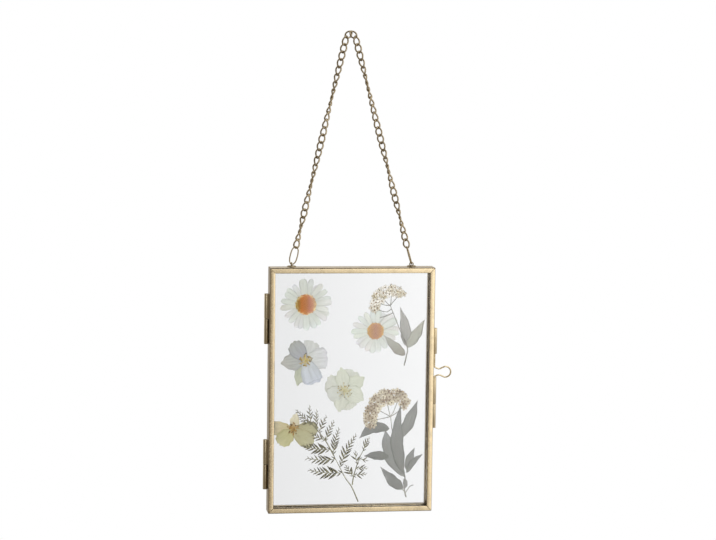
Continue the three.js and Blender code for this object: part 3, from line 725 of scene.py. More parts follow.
def ring_line(centre, long_way, wide_way):
    """An oval line, a little fuller than an ellipse, about the middle of the wire."""
    line = []
    for i in range(RING_STEPS):
        rise, reach = math.sin(math.tau * i / RING_STEPS), math.cos(math.tau * i / RING_STEPS)
        full = (rise ** 4 + reach ** 4) ** -RING_FULLNESS
        line.append(centre + (long_way * rise * RING_LINE_LONG
                              + wide_way * reach * RING_LINE_WIDE * full) / 2)
    return line


def strand_way(side):
    """The direction from the foot of a strand to its top."""
    low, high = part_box(f"chain_{side}")
    foot_x, top_x = (low.x, high.x) if side == "left" else (high.x, low.x)
    return Vector((top_x - foot_x, 0, high.z - low.z)).normalized()


for side in ("left", "right"):
    low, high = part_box(f"{side}_ring")
    along = strand_way(side)
    flat_way = Vector((along.z, 0, -along.x)) if side == "left" else Vector((0, 1, 0))
    wire_piece(f"{side}_jump_ring", f"{side}_ring", ring_line((low + high) / 2, along, flat_way),
               RING_WIRE / 2 * MM, CHAIN_BRASS, sides=12, normal=along.cross(flat_way), closed=True)

# %% [markdown]
# ## Chain
# A curb chain is bent from round wire: every oval link carries an eighth of a turn each way, so
# that it meets its neighbours at a right angle and the chain lies flat. The links repeat along a
# line, which is work for geometry nodes. A tree declares named inputs, makes its instances real at
# the end, and its result is taken as a plain mesh.

# %% Grow a mesh with a geometry tree


def geometry_tree(name, **sockets):
    """A new tree with named inputs. Returns it with what the inputs give."""
    tree = bpy.data.node_groups.new(name, "GeometryNodeTree")
    for socket, kind in {"Geometry": "Geometry", **sockets}.items():
        tree.interface.new_socket(socket, in_out="INPUT", socket_type=f"NodeSocket{kind}")
    tree.interface.new_socket("Geometry", in_out="OUTPUT", socket_type="NodeSocketGeometry")
    return Tree(tree), tree.nodes.new("NodeGroupInput").outputs


def finish_tree(tree, geometry, material):
    """Makes instances real, smooths them, gives them the material and sends them out."""
    real = tree.out("GeometryNodeRealizeInstances", Geometry=geometry)
    smooth = tree.out("GeometryNodeSetShadeSmooth", Geometry=real)
    coated = tree.out("GeometryNodeSetMaterial", Geometry=smooth, Material=material)
    tree.node("NodeGroupOutput", Geometry=coated)
    print(tree.tree.name, "nodes:", len(tree.tree.nodes))


def grown(tree, mesh, **values):
    """The plain mesh that a geometry tree makes of a mesh with these input values."""
    source = added("source", mesh)
    modifier = source.modifiers.new("grow", "NODES")
    modifier.node_group = tree.tree
    for item in tree.tree.interface.items_tree:
        if item.name in values:
            modifier[item.identifier] = values[item.name]
    return evaluated(source)


# %% [markdown]
# The tree cuts a line into pitches, bends one link, and sets it on each pitch. The value `turn` on
# the line says how far the hanging strand is wound there.

# %% A node tree that strings curb links on a line
EIGHTH_TURN = math.pi / 4
LINK_STEPS, LINK_SIDES = 18, 7
curb, given = geometry_tree("curb_chain", Links="Int", Long="Float", Wide="Float", Wire="Float",
                            Material="Material")
line = curb.out("GeometryNodeMeshToCurve", Mesh=given["Geometry"])
joints = curb.out("FunctionNodeIntegerMath", given["Links"], 1, operation="ADD")
cut = curb.out("GeometryNodeResampleCurve", Curve=line, Count=joints, mode="COUNT")
ends = curb.node("GeometryNodeInputMeshEdgeVertices").outputs
along = curb.out("ShaderNodeVectorMath", ends["Position 2"], ends["Position 1"],
                 operation="SUBTRACT")
pitches = curb.out("GeometryNodeStoreNamedAttribute", Name="along", Value=along,
                   Geometry=curb.out("GeometryNodeCurveToMesh", Curve=cut),
                   data_type="FLOAT_VECTOR", domain="EDGE")
places = curb.out("GeometryNodeMeshToPoints", Mesh=pitches, mode="EDGES")

angle = curb.times(curb.out("GeometryNodeSplineParameter"), math.tau)
rise, reach = curb.math("SINE", angle), curb.math("COSINE", angle)
bend = curb.times(rise, EIGHTH_TURN)
half_wide, half_long = (curb.times(curb.math("SUBTRACT", given[size], given["Wire"]), 0.5)
                        for size in ("Wide", "Long"))
side_reach = curb.times(half_wide, reach)
bent = curb.vector(curb.times(side_reach, curb.math("COSINE", bend)),
                   curb.times(side_reach, curb.math("SINE", bend)), curb.times(half_long, rise))
blank = curb.out("GeometryNodeCurvePrimitiveCircle", Resolution=LINK_STEPS)
oval = curb.out("GeometryNodeSetPosition", Geometry=blank, Position=bent)
round_wire = curb.out("GeometryNodeCurvePrimitiveCircle", Resolution=LINK_SIDES,
                      Radius=curb.times(given["Wire"], 0.5))
link = curb.out("GeometryNodeCurveToMesh", Curve=oval, Profile_Curve=round_wire)

way = curb.out("GeometryNodeInputNamedAttribute", Name="along", data_type="FLOAT_VECTOR")
wound = curb.out("GeometryNodeInputNamedAttribute", Name="turn", data_type="FLOAT")
stood = curb.out("FunctionNodeAxesToRotation", Primary_Axis=way, Secondary_Axis=(0.0, 1.0, 0.0),
                 primary_axis="Z", secondary_axis="Y")
spin = curb.out("FunctionNodeAxisAngleToRotation", Axis=(0.0, 0.0, 1.0), Angle=wound)
turned = curb.out("FunctionNodeRotateRotation", Rotation=stood, Rotate_By=spin,
                  rotation_space="LOCAL")
strung = curb.out("GeometryNodeInstanceOnPoints", Points=places, Instance=link, Rotation=turned)
finish_tree(curb, strung, given["Material"])

# %% [markdown]
# Each strand runs straight from its ring to the pair of links that lie over the nail. A hanging
# chain is never quite unwound, so the strands turn slowly: a table gives the share of the way and
# the quarter turns that are reached there.

# %% Strands and the links over the nail
LINK_WIRE, LINK_WIDE, LINK_PITCH, LINK_RECESS = 1.06, 4.65, 4.85, 0.25
APEX_DROP, OVER_NAIL_TURN = 0.25, 0.1
STRAND_TOP = (2.85, -3.17)
FOOT_IN_LUG = 1.05
LEFT_WOUND = [(0, 1.8), (0.05, 2), (0.275, 3), (0.48, 4), (0.68, 5), (0.82, 6), (0.905, 7), (1, 8)]
RIGHT_WOUND = [
    (0, 1.7), (0.04, 2), (0.2, 3), (0.455, 4), (0.615, 5), (0.745, 6), (0.85, 7), (0.96, 8), (1, 8),
]


def chain_piece(name, node_name, points, turns, links):
    """points: joints on the way, in metres. turns: quarter turns at each."""
    path = new_mesh(name, points, [], [(i, i + 1) for i in range(len(points) - 1)],
                    turn=[t * math.pi / 2 for t in turns])
    pitch = sum((b - a).length for a, b in zip(points, points[1:])) / links
    mesh = grown(curb, path, Links=links, Long=pitch + 2 * LINK_WIRE * MM, Wide=LINK_WIDE * MM,
                 Wire=LINK_WIRE * MM, Material=CHAIN_BRASS)
    store(mesh, recess=[LINK_RECESS] * len(mesh.vertices))
    print(name, "links", links, "pitch mm", round(pitch / MM, 2))
    place_piece(name, facing_out(mesh), CHAIN_BRASS, node_name)


for side, wound_table, outer in (("left", LEFT_WOUND, -1), ("right", RIGHT_WOUND, 1)):
    lug_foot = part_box(f"{side}_lug")[0].z
    foot = Vector((middle.x + LUG_X[side] * MM, 0, lug_foot + FOOT_IN_LUG * MM))
    top = Vector((outer * STRAND_TOP[0], 0, STRAND_TOP[1])) * MM
    low_end = foot + (top - foot).normalized() * RING_LINE_LONG
    chain_piece(f"{side}_curb_strand", f"chain_{side}",
                [top.lerp(low_end, share) for share, _ in wound_table],
                [turn for _, turn in wound_table],
                round((top - low_end).length / MM / LINK_PITCH))

nail_line = [(-STRAND_TOP[0], STRAND_TOP[1]), (0, -APEX_DROP), STRAND_TOP]
chain_piece("links_over_nail", "chain_top_link", [Vector((x, 0, z)) * MM for x, z in nail_line],
            (OVER_NAIL_TURN, 0.0, -OVER_NAIL_TURN), 2)

# %% [markdown]
# ## Thin sheets
# Petals and leaves are pressed flat, so each is a grid between a left and a right edge with a trace
# of relief, and Solidify gives it a little thickness at the end. A colour runs from the foot to the
# tip of each sheet, because dried petals bleach outwards, and `grain` keeps veins from repeating.

# %% Collect sheets into one mesh
SHEET = 0.07
SCALLOPS = 9.5      # radians of the wave that scallops a tip


def mixed(first, second, share):
    return tuple(a + (b - a) * share for a, b in zip(first, second))


class Sheets:
    """Thin sheets of one specimen."""

    def __init__(self, seed):
        self.vertices, self.faces, self.uvs, self.hues, self.grain = [], [], [], [], []
        self.dice = random.Random(seed)

    def add(self, left, right, depth, foot_hue, tip_hue, columns=6, relief=0.0, fringe=0.0):
        """left, right: edges. relief: rise of the middle. fringe: depth of the tip's scallops."""
        start, rows, grain = len(self.vertices), len(left), self.dice.uniform(0, 20)
        foot, tip = mixed(left[0], right[0], 0.5), mixed(left[-1], right[-1], 0.5)
        length = math.hypot(tip[0] - foot[0], tip[1] - foot[1])
        onward = ((tip[0] - foot[0]) / length, (tip[1] - foot[1]) / length)
        for i in range(rows):
            u = i / (rows - 1)
            for j in range(columns + 1):
                v = j / columns
                x, z = mixed(left[i], right[i], v)
                push = fringe * u ** 5 * math.sin(SCALLOPS * v + grain)
                rise = relief * (1 - abs(2 * v - 1)) * math.sin(math.pi * u)
                self.vertices.append(spot(x + onward[0] * push, z + onward[1] * push,
                                          depth - rise * MM))
                self.uvs.append((u, v))
                self.hues.extend(mixed(foot_hue, tip_hue, u))
                self.grain.append(grain)
        for i in range(rows - 1):
            for j in range(columns):
                k = start + i * (columns + 1) + j
                self.faces.append((k, k + 1, k + columns + 2, k + columns + 1))

    def mesh(self, name):
        mesh = new_mesh(name, self.vertices, self.faces, grain=self.grain)
        layer = mesh.uv_layers.new(name="UVMap")
        for loop in mesh.loops:
            layer.data[loop.index].uv = self.uvs[loop.vertex_index]
        mesh.attributes.new("hue", "FLOAT_COLOR", "POINT").data.foreach_set("color", self.hues)
        return facing_out(modified(mesh, "SOLIDIFY", thickness=SHEET * MM, offset=0.0))


# %% [markdown]
# A petal is drawn from a table of half widths, a direction and a little bend. Four outlines serve
# for all: slim rays, and round, square and pointed broad petals.

# %% Outlines of petals


def leaning(angle):
    """The direction at an angle in degrees on the frame's plane."""
    return math.cos(math.radians(angle)), math.sin(math.radians(angle))


def further(point, way, reach):
    """The place at a distance from a point."""
    return point[0] + way[0] * reach, point[1] + way[1] * reach


# half widths along a petal, from its foot to its tip
PROFILES = {
    "ray": [(0, 0.56), (0.3, 0.8), (0.6, 0.98), (0.8, 0.98), (0.92, 0.8), (0.98, 0.5), (1.0, 0.25)],
    "round": [(0, 0.3), (0.25, 0.74), (0.5, 0.97), (0.7, 1.0), (0.87, 0.85), (0.96, 0.55),
              (1.0, 0.22)],
    "square": [(0, 0.3), (0.3, 0.74), (0.6, 0.97), (0.82, 1.0), (0.93, 0.86), (1.0, 0.5)],
    "pointed": [(0, 0.3), (0.25, 0.8), (0.5, 1.0), (0.75, 0.72), (0.92, 0.3), (1.0, 0.05)],
}


def petal_edges(centre, angle, length, width, profile, bend=0.0, foot=0.0, rows=12):
    """Both edges of a petal that starts `foot` from the centre and bends by `bend` degrees."""
    left, right = [], []
    for point in smooth_line(PROFILES[profile], rows):
        reach = foot + (length - foot) * point.x
        spine = further(centre, leaning(angle + bend * point.x / 2), reach)
        across, half = leaning(angle + bend * point.x + 90), point.y * width / 2
        left.append(further(spine, across, half))
        right.append(further(spine, across, -half))
    return left, right


# %% [markdown]
# Dried skin is matt and thin. Veins run along the sheet, margins and tips brown a little, and small
# rusty flecks lie anywhere; all of it multiplies the sheet's own colour.

# %% Skin of petals and leaves
VEIN_TONE, RUST_TONE = (0.55, 0.55, 0.5, 1), (0.72, 0.62, 0.42, 1)


def dried_skin(name, roughness, veins, vein_depth, margin, flecks):
    """veins: how many cross the sheet. margin: colour that multiplies the rim."""
    material, tree, shader = new_material(name, roughness)
    hue = tree.node("ShaderNodeAttribute", attribute_name="hue").outputs["Color"]
    place = tree.node("ShaderNodeSeparateXYZ", Vector=tree.out("ShaderNodeUVMap")).outputs
    across = tree.math("ABSOLUTE", tree.math("MULTIPLY_ADD", place["Y"], 2.0, -1.0))
    weave = tree.vector(tree.times(place["X"], 3.0), tree.times(place["Y"], veins),
                        tree.carried("grain"))
    ribs = tree.noise(1.0, 2.0, weave)
    veined = tree.mix(tree.span(ribs, 0.35, 0.65, 0.0, vein_depth), hue, VEIN_TONE, "MULTIPLY")
    rim = tree.math("MAXIMUM", tree.span(across, 0.72, 1.0), tree.span(place["X"], 0.9, 1.0))
    wander = tree.span(tree.noise(500.0), 0.3, 0.7, 0.3, 1.0)
    edged = tree.mix(tree.times(rim, wander), veined, margin + (1,), "MULTIPLY")
    rust = tree.span(tree.noise(900.0, 4.0), 0.62, 0.75, 0.0, flecks)
    aged = tree.mix(rust, edged, RUST_TONE, "MULTIPLY")
    tree.feed(shader, {"Base Color": aged, "Specular IOR Level": 0.25})
    tree.raise_skin(shader, ribs, 0.00006, 0.6)
    return material


SKINS = {name: dried_skin(name, *values) for name, values in {
    "white_petal": (0.8, 9.0, 0.3, (0.72, 0.72, 0.71), 0.15),
    "blue_petal": (0.75, 16.0, 0.4, (0.84, 0.84, 0.85), 0.2),
    "green_petal": (0.75, 16.0, 0.3, (0.85, 0.86, 0.8), 0.3),
    "yellow_petal": (0.75, 16.0, 0.35, (0.86, 0.84, 0.74), 0.6),
    "upper_leaf": (0.7, 22.0, 0.5, (0.5, 0.5, 0.47), 0.4),
    "lower_leaf": (0.7, 22.0, 0.45, (0.55, 0.55, 0.55), 0.4),
}.items()}
print("skins:", *SKINS)

# %% [markdown]
# ## Daisies
# The rays of a pressed daisy never lie evenly: some overlap, some leave gaps, and their lengths
# differ. Each ray is therefore named by its angle, length and width, and neighbours lie on three
# levels.

# %% Rays of both daisies
LEVEL, RAY_FULLNESS, RAY_FOOT = 0.06, 1.06, 0.6
RAY_BEND, RAY_TONES = 7, (0.93, 1.05)      # most degrees of bend, least and most tone
DAISIES = {"large": (-28.2, 53.9), "small": (15.9, 37.0)}
LARGE_RAYS = [
    (98, 16.2, 4.9), (77, 16.3, 3.4), (62, 13.6, 2.6), (54, 16.2, 3.4), (36, 15.8, 3.2),
    (16, 16.2, 3.5), (5, 16.3, 3.7), (-14, 14.6, 3.6), (-23, 15.9, 3.8), (-36, 16.3, 3.2),
    (-52, 15.8, 3.1), (-68, 16, 3.9), (-86, 16.2, 4.0), (-102, 15.6, 3.2), (-115, 15.8, 2.9),
    (-133, 15.0, 3.3), (-152, 15.0, 3.0), (189, 16.1, 3.5), (173, 15.7, 3.4), (155, 14.8, 3.6),
    (142, 15.2, 3.6), (121, 14.7, 2.9),
]
SMALL_RAYS = [
    (121, 13.4, 3.1), (141, 14.2, 3.0), (162, 14.9, 3.2), (179, 15.4, 3.4), (196, 14.2, 3.1),
    (212, 14.2, 3.5), (229, 14.0, 3.5), (248, 13.9, 3.2), (262, 14.1, 3.7), (282, 13.4, 3.8),
    (303, 13.0, 3.2), (322, 13.4, 3.2), (341, 13.8, 3.0), (354, 14.8, 3.2), (7, 15.2, 3.2),
    (27, 15.2, 4.6), (44, 14.4, 5.0), (63, 12.6, 4.0), (83, 13.4, 3.4), (102, 13.2, 3.4),
]


def daisy_rays(size, rays, disc_radius, foot_hue, tip_hue, seed):
    """The white rays of one daisy, each a little different in tone."""
    name, node_name = f"{size}_daisy_rays", f"{size}_daisy_petals"
    sheets = Sheets(seed)
    for i, (angle, length, width) in enumerate(rays):
        bend = sheets.dice.uniform(-RAY_BEND, RAY_BEND)
        paler = tuple(c * sheets.dice.uniform(*RAY_TONES) for c in tip_hue[:3]) + (1,)
        edges = petal_edges(DAISIES[size], angle, length, width * RAY_FULLNESS, "ray", bend,
                            disc_radius * RAY_FOOT)
        sheets.add(*edges, layer_of(node_name) + (i % 3 - 1) * LEVEL * MM, foot_hue, paler,
                   relief=0.04, fringe=0.28)
    place_piece(name, sheets.mesh(name), SKINS["white_petal"], node_name)


daisy_rays("large", LARGE_RAYS, 6.5, shade(209, 212, 203), shade(224, 224, 221), 11)
daisy_rays("small", SMALL_RAYS, 5.4, shade(213, 216, 208), shade(225, 226, 223), 12)

# %% [markdown]
# A daisy's disc is a low dome packed with tube florets on a golden spiral: the florets repeat, so
# geometry nodes set a small bead on each point of the spiral.

# %% A node tree for the spiral of disc florets
GOLDEN_ANGLE = math.radians(137.508)
spiral, given = geometry_tree("disc_florets", Florets="Int", Radius="Float", Dome="Float",
                              Material="Material")
index = spiral.out("GeometryNodeInputIndex")
away = spiral.math("SQRT", spiral.math("DIVIDE", spiral.plus(index, 0.5), given["Florets"]))
reach, angle = spiral.times(away, given["Radius"]), spiral.times(index, GOLDEN_ANGLE)
swell = spiral.times(spiral.plus(spiral.times(away, away), -1.0), given["Dome"])
place = spiral.vector(spiral.times(reach, spiral.math("COSINE", angle)), swell,
                      spiral.times(reach, spiral.math("SINE", angle)))
points = spiral.out("GeometryNodePoints", Count=given["Florets"], Position=place)
bead_size = spiral.math("DIVIDE", given["Radius"], spiral.math("SQRT", given["Florets"]))
bead = spiral.out("GeometryNodeMeshIcoSphere", Radius=bead_size, Subdivisions=1)
beads = spiral.out("GeometryNodeInstanceOnPoints", Points=points, Instance=bead,
                   Scale=(1.0, 0.5, 1.0))


def join_all(tree, parts):
    """Several geometries as one."""
    whole = tree.node("GeometryNodeJoinGeometry")
    for part in parts:
        tree.tree.links.new(part, whole.inputs[0])
    return whole.outputs[0]


finish_tree(spiral, join_all(spiral, [beads, given["Geometry"]]), given["Material"])

# %% [markdown]
# The large disc lies turned in the press, golden on one side and brown on the other, so its colour
# runs across it. Fine noise paints random dark patches as shade between the florets, and pollen
# gathers at the rim.

# %% Disc finishes


def disc_skin(name, across_stops, rim):
    """Colours from the left to the right of a disc, with a rim of pollen."""
    material, tree, shader = new_material(name, 0.85)
    ground = tree.ramp(tree.span(tree.carried("across"), -1.0, 1.0), *across_stops)
    # fine noise paints random dark patches as shade between the florets
    shade_patched = tree.mix(tree.span(tree.noise(1500.0), 0.4, 0.7, 0.0, 0.5), ground,
                      (0.45, 0.36, 0.25, 1), "MULTIPLY")
    pollen = tree.times(tree.span(tree.carried("away"), 0.74, 0.96),
                        tree.span(tree.noise(700.0, 2.0), 0.46, 0.58))
    tree.feed(shader, {"Base Color": tree.mix(pollen, shade_patched, rim)})
    return material


LARGE_DISC = disc_skin("large_daisy_disc", [
    (0.0, shade(200, 162, 44)), (0.14, shade(158, 120, 8)), (0.3, shade(206, 120, 26)),
    (0.5, shade(200, 128, 60)), (0.68, shade(200, 134, 108)), (1.0, shade(214, 182, 138))],
    shade(250, 236, 176))
SMALL_DISC = disc_skin("small_daisy_disc", [
    (0.0, shade(214, 176, 104)), (0.2, shade(206, 160, 110)), (0.5, shade(194, 150, 126)),
    (0.8, shade(208, 162, 118)), (1.0, shade(216, 182, 120))], shade(228, 196, 128))
print("disc finishes:", LARGE_DISC.name, SMALL_DISC.name)

# %% [markdown]
# Under the beads lies a cushion, so that no gap between them shows the pane. Where a bead lies on
# the disc is stored on the mesh once the tree is done, for the finish to read.

# %% Both discs
DISC_LIFT, DISC_SIDES, FLORET_REACH, CUSHION = 0.12, 28, 0.97, 0.7
DISC_DOME = [(0.93, 0.0), (0.9, 0.35), (0.78, 0.75), (0.5, 0.95), (0.0, 1.0)]      # reach and rise


def daisy_disc(size, radius, dome, florets, material):
    """A cushion under the beads that the tree sets on it."""
    name, node_name = f"{size}_daisy_florets", f"{size}_daisy_disc"
    angles = [math.tau * k / DISC_SIDES for k in range(DISC_SIDES)]
    vertices = [Vector((share * radius * math.cos(a), -rise * dome * CUSHION,
                        share * radius * math.sin(a))) * MM
                for share, rise in DISC_DOME for a in angles]
    faces = ring_faces(len(DISC_DOME), DISC_SIDES) + [tuple(range(DISC_SIDES))]
    mesh = grown(spiral, facing_out(new_mesh(name, vertices, faces)), Florets=florets,
                 Radius=radius * FLORET_REACH * MM, Dome=dome * MM, Material=material)
    places = [vertex.co / (radius * MM) for vertex in mesh.vertices]
    store(mesh, across=[p.x for p in places], away=[math.hypot(p.x, p.z) for p in places])
    mesh.transform(Matrix.Translation(spot(*DAISIES[size], layer_of(node_name) + DISC_LIFT * MM)))
    place_piece(name, mesh, material, node_name)


daisy_disc("large", 6.8, 0.4, 150, LARGE_DISC)
daisy_disc("small", 5.5, 0.26, 120, SMALL_DISC)

# %% [markdown]
# ## Blossoms
# Three blossoms lie open with broad overlapping petals. Their petals differ in shape, lean and
# colour, so each is listed: angle, length, width, shape, bend, and the screen colours of its foot
# and tip. Their edges sway a little, as thin petals do when they dry.

# %% Broad petals
PETAL_ROWS, PETAL_COLUMNS = 20, 12
PETAL_SWAY, PETAL_RAGGED = 0.24, 0.12
BLUE_PETALS = [
    (128, 13.6, 10.4, "round", 0, (166, 168, 176), (172, 174, 164)),
    (70, 12.4, 10.4, "square", -6, (196, 198, 196), (206, 207, 202)),
    (4, 13.8, 13.4, "square", 4, (204, 207, 202), (212, 211, 216)),
    (-69, 15.8, 12.6, "square", 0, (196, 201, 202), (198, 202, 214)),
    (-107, 16.8, 8.6, "pointed", 0, (182, 186, 168), (190, 193, 172)),
    (186, 15.4, 11.4, "pointed", 5, (176, 179, 178), (184, 182, 172)),
]
GREEN_PETALS = [
    (101, 14.0, 9.4, "pointed", -4, (206, 208, 196), (204, 207, 190)),
    (66, 13.0, 11.4, "square", 0, (207, 209, 197), (210, 212, 202)),
    (29, 14.6, 10.4, "pointed", 3, (206, 209, 194), (206, 209, 192)),
    (-27, 14.0, 11.6, "pointed", -3, (206, 209, 195), (206, 208, 194)),
    (-76, 13.0, 11.6, "round", 0, (206, 207, 195), (210, 211, 199)),
    (-106, 14.4, 10.2, "pointed", 4, (204, 206, 193), (203, 204, 190)),
    (203, 11.2, 9.8, "round", -5, (200, 202, 192), (203, 204, 198)),
    (156, 12.4, 11.4, "square", 4, (200, 202, 190), (206, 207, 198)),
]
YELLOW_PETALS = [
    (84, 11.0, 6.0, "pointed", -8, (206, 198, 166), (220, 214, 194)),
    (172, 13.8, 8.8, "square", 3, (198, 184, 138), (212, 204, 180)),
    (222, 12.6, 10.4, "round", 4, (184, 178, 132), (204, 201, 160)),
    (-39, 15.4, 10.4, "round", 5, (176, 171, 134), (192, 188, 156)),
    (3, 15.4, 9.4, "round", -4, (172, 167, 130), (188, 184, 152)),
]


def blossom(colour, centre, petals, seed):
    """The petals of one blossom, laid over each other on three levels."""
    name, node_name = f"{colour}_blossom", f"{colour}_blossom_petals"
    sheets = Sheets(seed)
    for i, (angle, length, width, profile, bend, foot_hue, tip_hue) in enumerate(petals):
        left, right = petal_edges(centre, angle, length, width, profile, bend, rows=PETAL_ROWS)
        sway = [PETAL_SWAY * math.sin(1.3 * row + i)
                + sheets.dice.uniform(-PETAL_RAGGED, PETAL_RAGGED) for row in range(PETAL_ROWS)]
        left = [(x + s, z - s) for (x, z), s in zip(left, sway)]
        right = [(x - s * 0.7, z + s) for (x, z), s in zip(right, reversed(sway))]
        sheets.add(left, right, layer_of(node_name) + ((i * 2) % 3 - 1) * LEVEL * MM,
                   shade(*foot_hue), shade(*tip_hue), PETAL_COLUMNS, relief=0.05, fringe=0.4)
    place_piece(name, sheets.mesh(name), SKINS[f"{colour}_petal"], node_name)


blossom("blue", (-28.1, 19.0), BLUE_PETALS, 21)
blossom("green", (-3.3, 0.0), GREEN_PETALS, 22)
blossom("yellow", (-35.2, -25.3), YELLOW_PETALS, 23)

# %% [markdown]
# The stamens are threads with a bead of pollen at the end, splayed flat by the press. `ripe` tells
# the beads from the threads.

# %% Stamens
THREAD_SIDES, BEAD_SIDES = 5, 6
THREAD_SCATTER, THREAD_BEND, THREAD_LIFT, KNEE = 14, 25, 0.08, 0.55      # degrees, mm, share
THREAD = (0.19 * MM, 0.15 * MM, 0.13 * MM)
BEAD = [(-0.3, 0.14), (-0.12, 0.42), (0.2, 0.4), (0.42, 0.1)]      # place along it and radius


def stamen_skin(name, thread, pollen, husk):
    """Pale threads with mottled beads."""
    material, tree, shader = new_material(name, 0.8)
    beads = tree.mix(tree.span(tree.noise(900.0, 2.0), 0.42, 0.58), shade(*pollen), shade(*husk))
    tree.feed(shader, {"Base Color": tree.mix(tree.carried("ripe"), shade(*thread), beads)})
    return material


def stamens(colour, centre, count, reach, seed, material):
    """A tuft of threads round a centre, with lengths and bends drawn from a fixed seed."""
    name, node_name = f"{colour}_blossom_tuft", f"{colour}_blossom_stamens"
    dice = random.Random(seed)
    parts, ripe = [], []
    for i in range(count):
        angle = 360 * i / count + dice.uniform(-THREAD_SCATTER, THREAD_SCATTER)
        length = reach * dice.uniform(0.45, 1.0)
        way, bent = leaning(angle), leaning(angle + dice.uniform(-THREAD_BEND, THREAD_BEND))
        depth = layer_of(node_name) + dice.uniform(-THREAD_LIFT, THREAD_LIFT) * MM
        knee = further(centre, way, length * KNEE)
        tip = further(knee, bent, length * (1 - KNEE))
        line = [spot(*point, depth) for point in (further(centre, way, 0.3), knee, tip)]
        bead = [spot(*further(tip, bent, step), depth) for step, _ in BEAD]
        parts += [tube(line, THREAD, THREAD_SIDES),
                  tube(bead, [radius * MM for _, radius in BEAD], BEAD_SIDES, flat=0.5)]
        ripe += [0.0] * THREAD_SIDES * len(line) + [1.0] * BEAD_SIDES * len(bead)
    mesh = facing_out(new_mesh(name, *joined(parts), ripe=ripe))
    place_piece(name, mesh, material, node_name)


TUFTS = {name: stamen_skin(f"{name}_stamen", *tones) for name, tones in {
    "gold": ((212, 190, 112), (198, 160, 48), (92, 78, 34)),
    "pale": ((212, 204, 160), (204, 184, 126), (120, 108, 74)),
    "brown": ((186, 150, 78), (176, 128, 48), (96, 70, 20)),
}.items()}
stamens("blue", (-27.6, 18.9), 30, 4.4, 31, TUFTS["gold"])
stamens("green", (-3.1, -0.4), 26, 4.8, 32, TUFTS["pale"])
stamens("yellow", (-35.4, -24.6), 24, 4.0, 33, TUFTS["brown"])

# %% [markdown]
# ## Fern
# Narrow pinnules stand in two rows on each pinna of the frond and shrink towards its tip. They
# repeat along a line, so geometry nodes set them: the value `reach` on the line is their length
# there, and the same lines become the ribs. One row is moved back a little, because the two rows of
# a fern alternate.

# %% A node tree for pinnules on ribs
ALTERNATE = -0.22      # share of the spacing; the second row moves back by twice this
PINNULE_SWAY, PINNULE_SIZES, RIB_SIDES = 0.16, (0.78, 1.12), 5
feather, given = geometry_tree("fern_pinnules", Blade="Object", Spacing="Float", Slant="Float",
                               Rib="Float", Material="Material")


def drawn(tree, low, high, seed):
    """A number between two others, drawn for each point with a fixed seed."""
    made = tree.node("FunctionNodeRandomValue", Seed=seed, data_type="FLOAT")
    tree.feed(made, {2: low, 3: high})
    return made.outputs[1]


line = feather.out("GeometryNodeMeshToCurve", Mesh=given["Geometry"])
cut = feather.out("GeometryNodeResampleCurve", Curve=line, Length=given["Spacing"], mode="LENGTH")
stations = feather.node("GeometryNodeCurveToPoints", Curve=cut, mode="EVALUATED").outputs
upright = feather.out("FunctionNodeAxesToRotation", Primary_Axis=stations["Tangent"],
                      Secondary_Axis=(0.0, 1.0, 0.0), primary_axis="X", secondary_axis="Y")
blade = feather.node("GeometryNodeObjectInfo", Object=given["Blade"]).outputs["Geometry"]
length = feather.out("GeometryNodeInputNamedAttribute", Name="reach", data_type="FLOAT")
size = feather.times(length, drawn(feather, *PINNULE_SIZES, 5))
frond_parts = []
for sign, seed in ((-1.0, 6), (1.0, 8)):
    sway = drawn(feather, -PINNULE_SWAY, PINNULE_SWAY, seed)
    slant = feather.times(feather.plus(given["Slant"], sway), sign)
    lean = feather.out("FunctionNodeAxisAngleToRotation", Axis=(0.0, 1.0, 0.0), Angle=slant)
    spread = feather.out("FunctionNodeRotateRotation", Rotation=upright, Rotate_By=lean,
                         rotation_space="LOCAL")
    back = feather.times(given["Spacing"], ALTERNATE * (1.0 + sign))
    along = feather.out("ShaderNodeVectorMath", stations["Tangent"], Scale=back,
                        operation="SCALE")
    feet = feather.out("GeometryNodeSetPosition", Geometry=stations["Points"], Offset=along)
    frond_parts.append(feather.out("GeometryNodeInstanceOnPoints", Points=feet, Instance=blade,
                                   Rotation=spread, Scale=size))
rib_section = feather.out("GeometryNodeCurvePrimitiveCircle", Resolution=RIB_SIDES,
                          Radius=given["Rib"])
frond_parts.append(feather.out("GeometryNodeCurveToMesh", Curve=line, Profile_Curve=rib_section,
                               Fill_Caps=True))
finish_tree(feather, join_all(feather, frond_parts), given["Material"])

# %% [markdown]
# One pinnule is a flat spindle one unit long, and the tree scales it. Its value `tip` lets the
# colour darken from foot to tip, and slow noise bleaches whole patches.

# %% Fern finish and one pinnule
FERN, fern_tree, fern_shader = new_material("fern", 0.7)
fern_tone = fern_tree.ramp(fern_tree.carried("tip"), (0.0, shade(118, 116, 88)),
                           (0.4, shade(86, 82, 54)), (1.0, shade(56, 52, 28)))
bleached = fern_tree.span(fern_tree.noise(350.0), 0.4, 0.7, 0.0, 0.35)
fern_tree.feed(fern_shader, {
    "Base Color": fern_tree.mix(bleached, fern_tone, shade(140, 134, 104))})

BLADE = [(0.0, 0.04), (0.25, 0.11), (0.6, 0.1), (1.0, 0.018)]      # place along it and radius
blade_vertices, blade_faces = tube([Vector((share, 0, 0)) for share, _ in BLADE],
                                   [radius for _, radius in BLADE], 6, flat=0.35)
blade_object = added("blade", facing_out(new_mesh(
    "blade", blade_vertices, blade_faces, tip=[vertex.x for vertex in blade_vertices])))
print("pinnule vertices:", len(blade_vertices))

# %% [markdown]
# The frond is split at its main forks. Each part has its rachis, which is its stalk, and the pinnae
# that leave it.

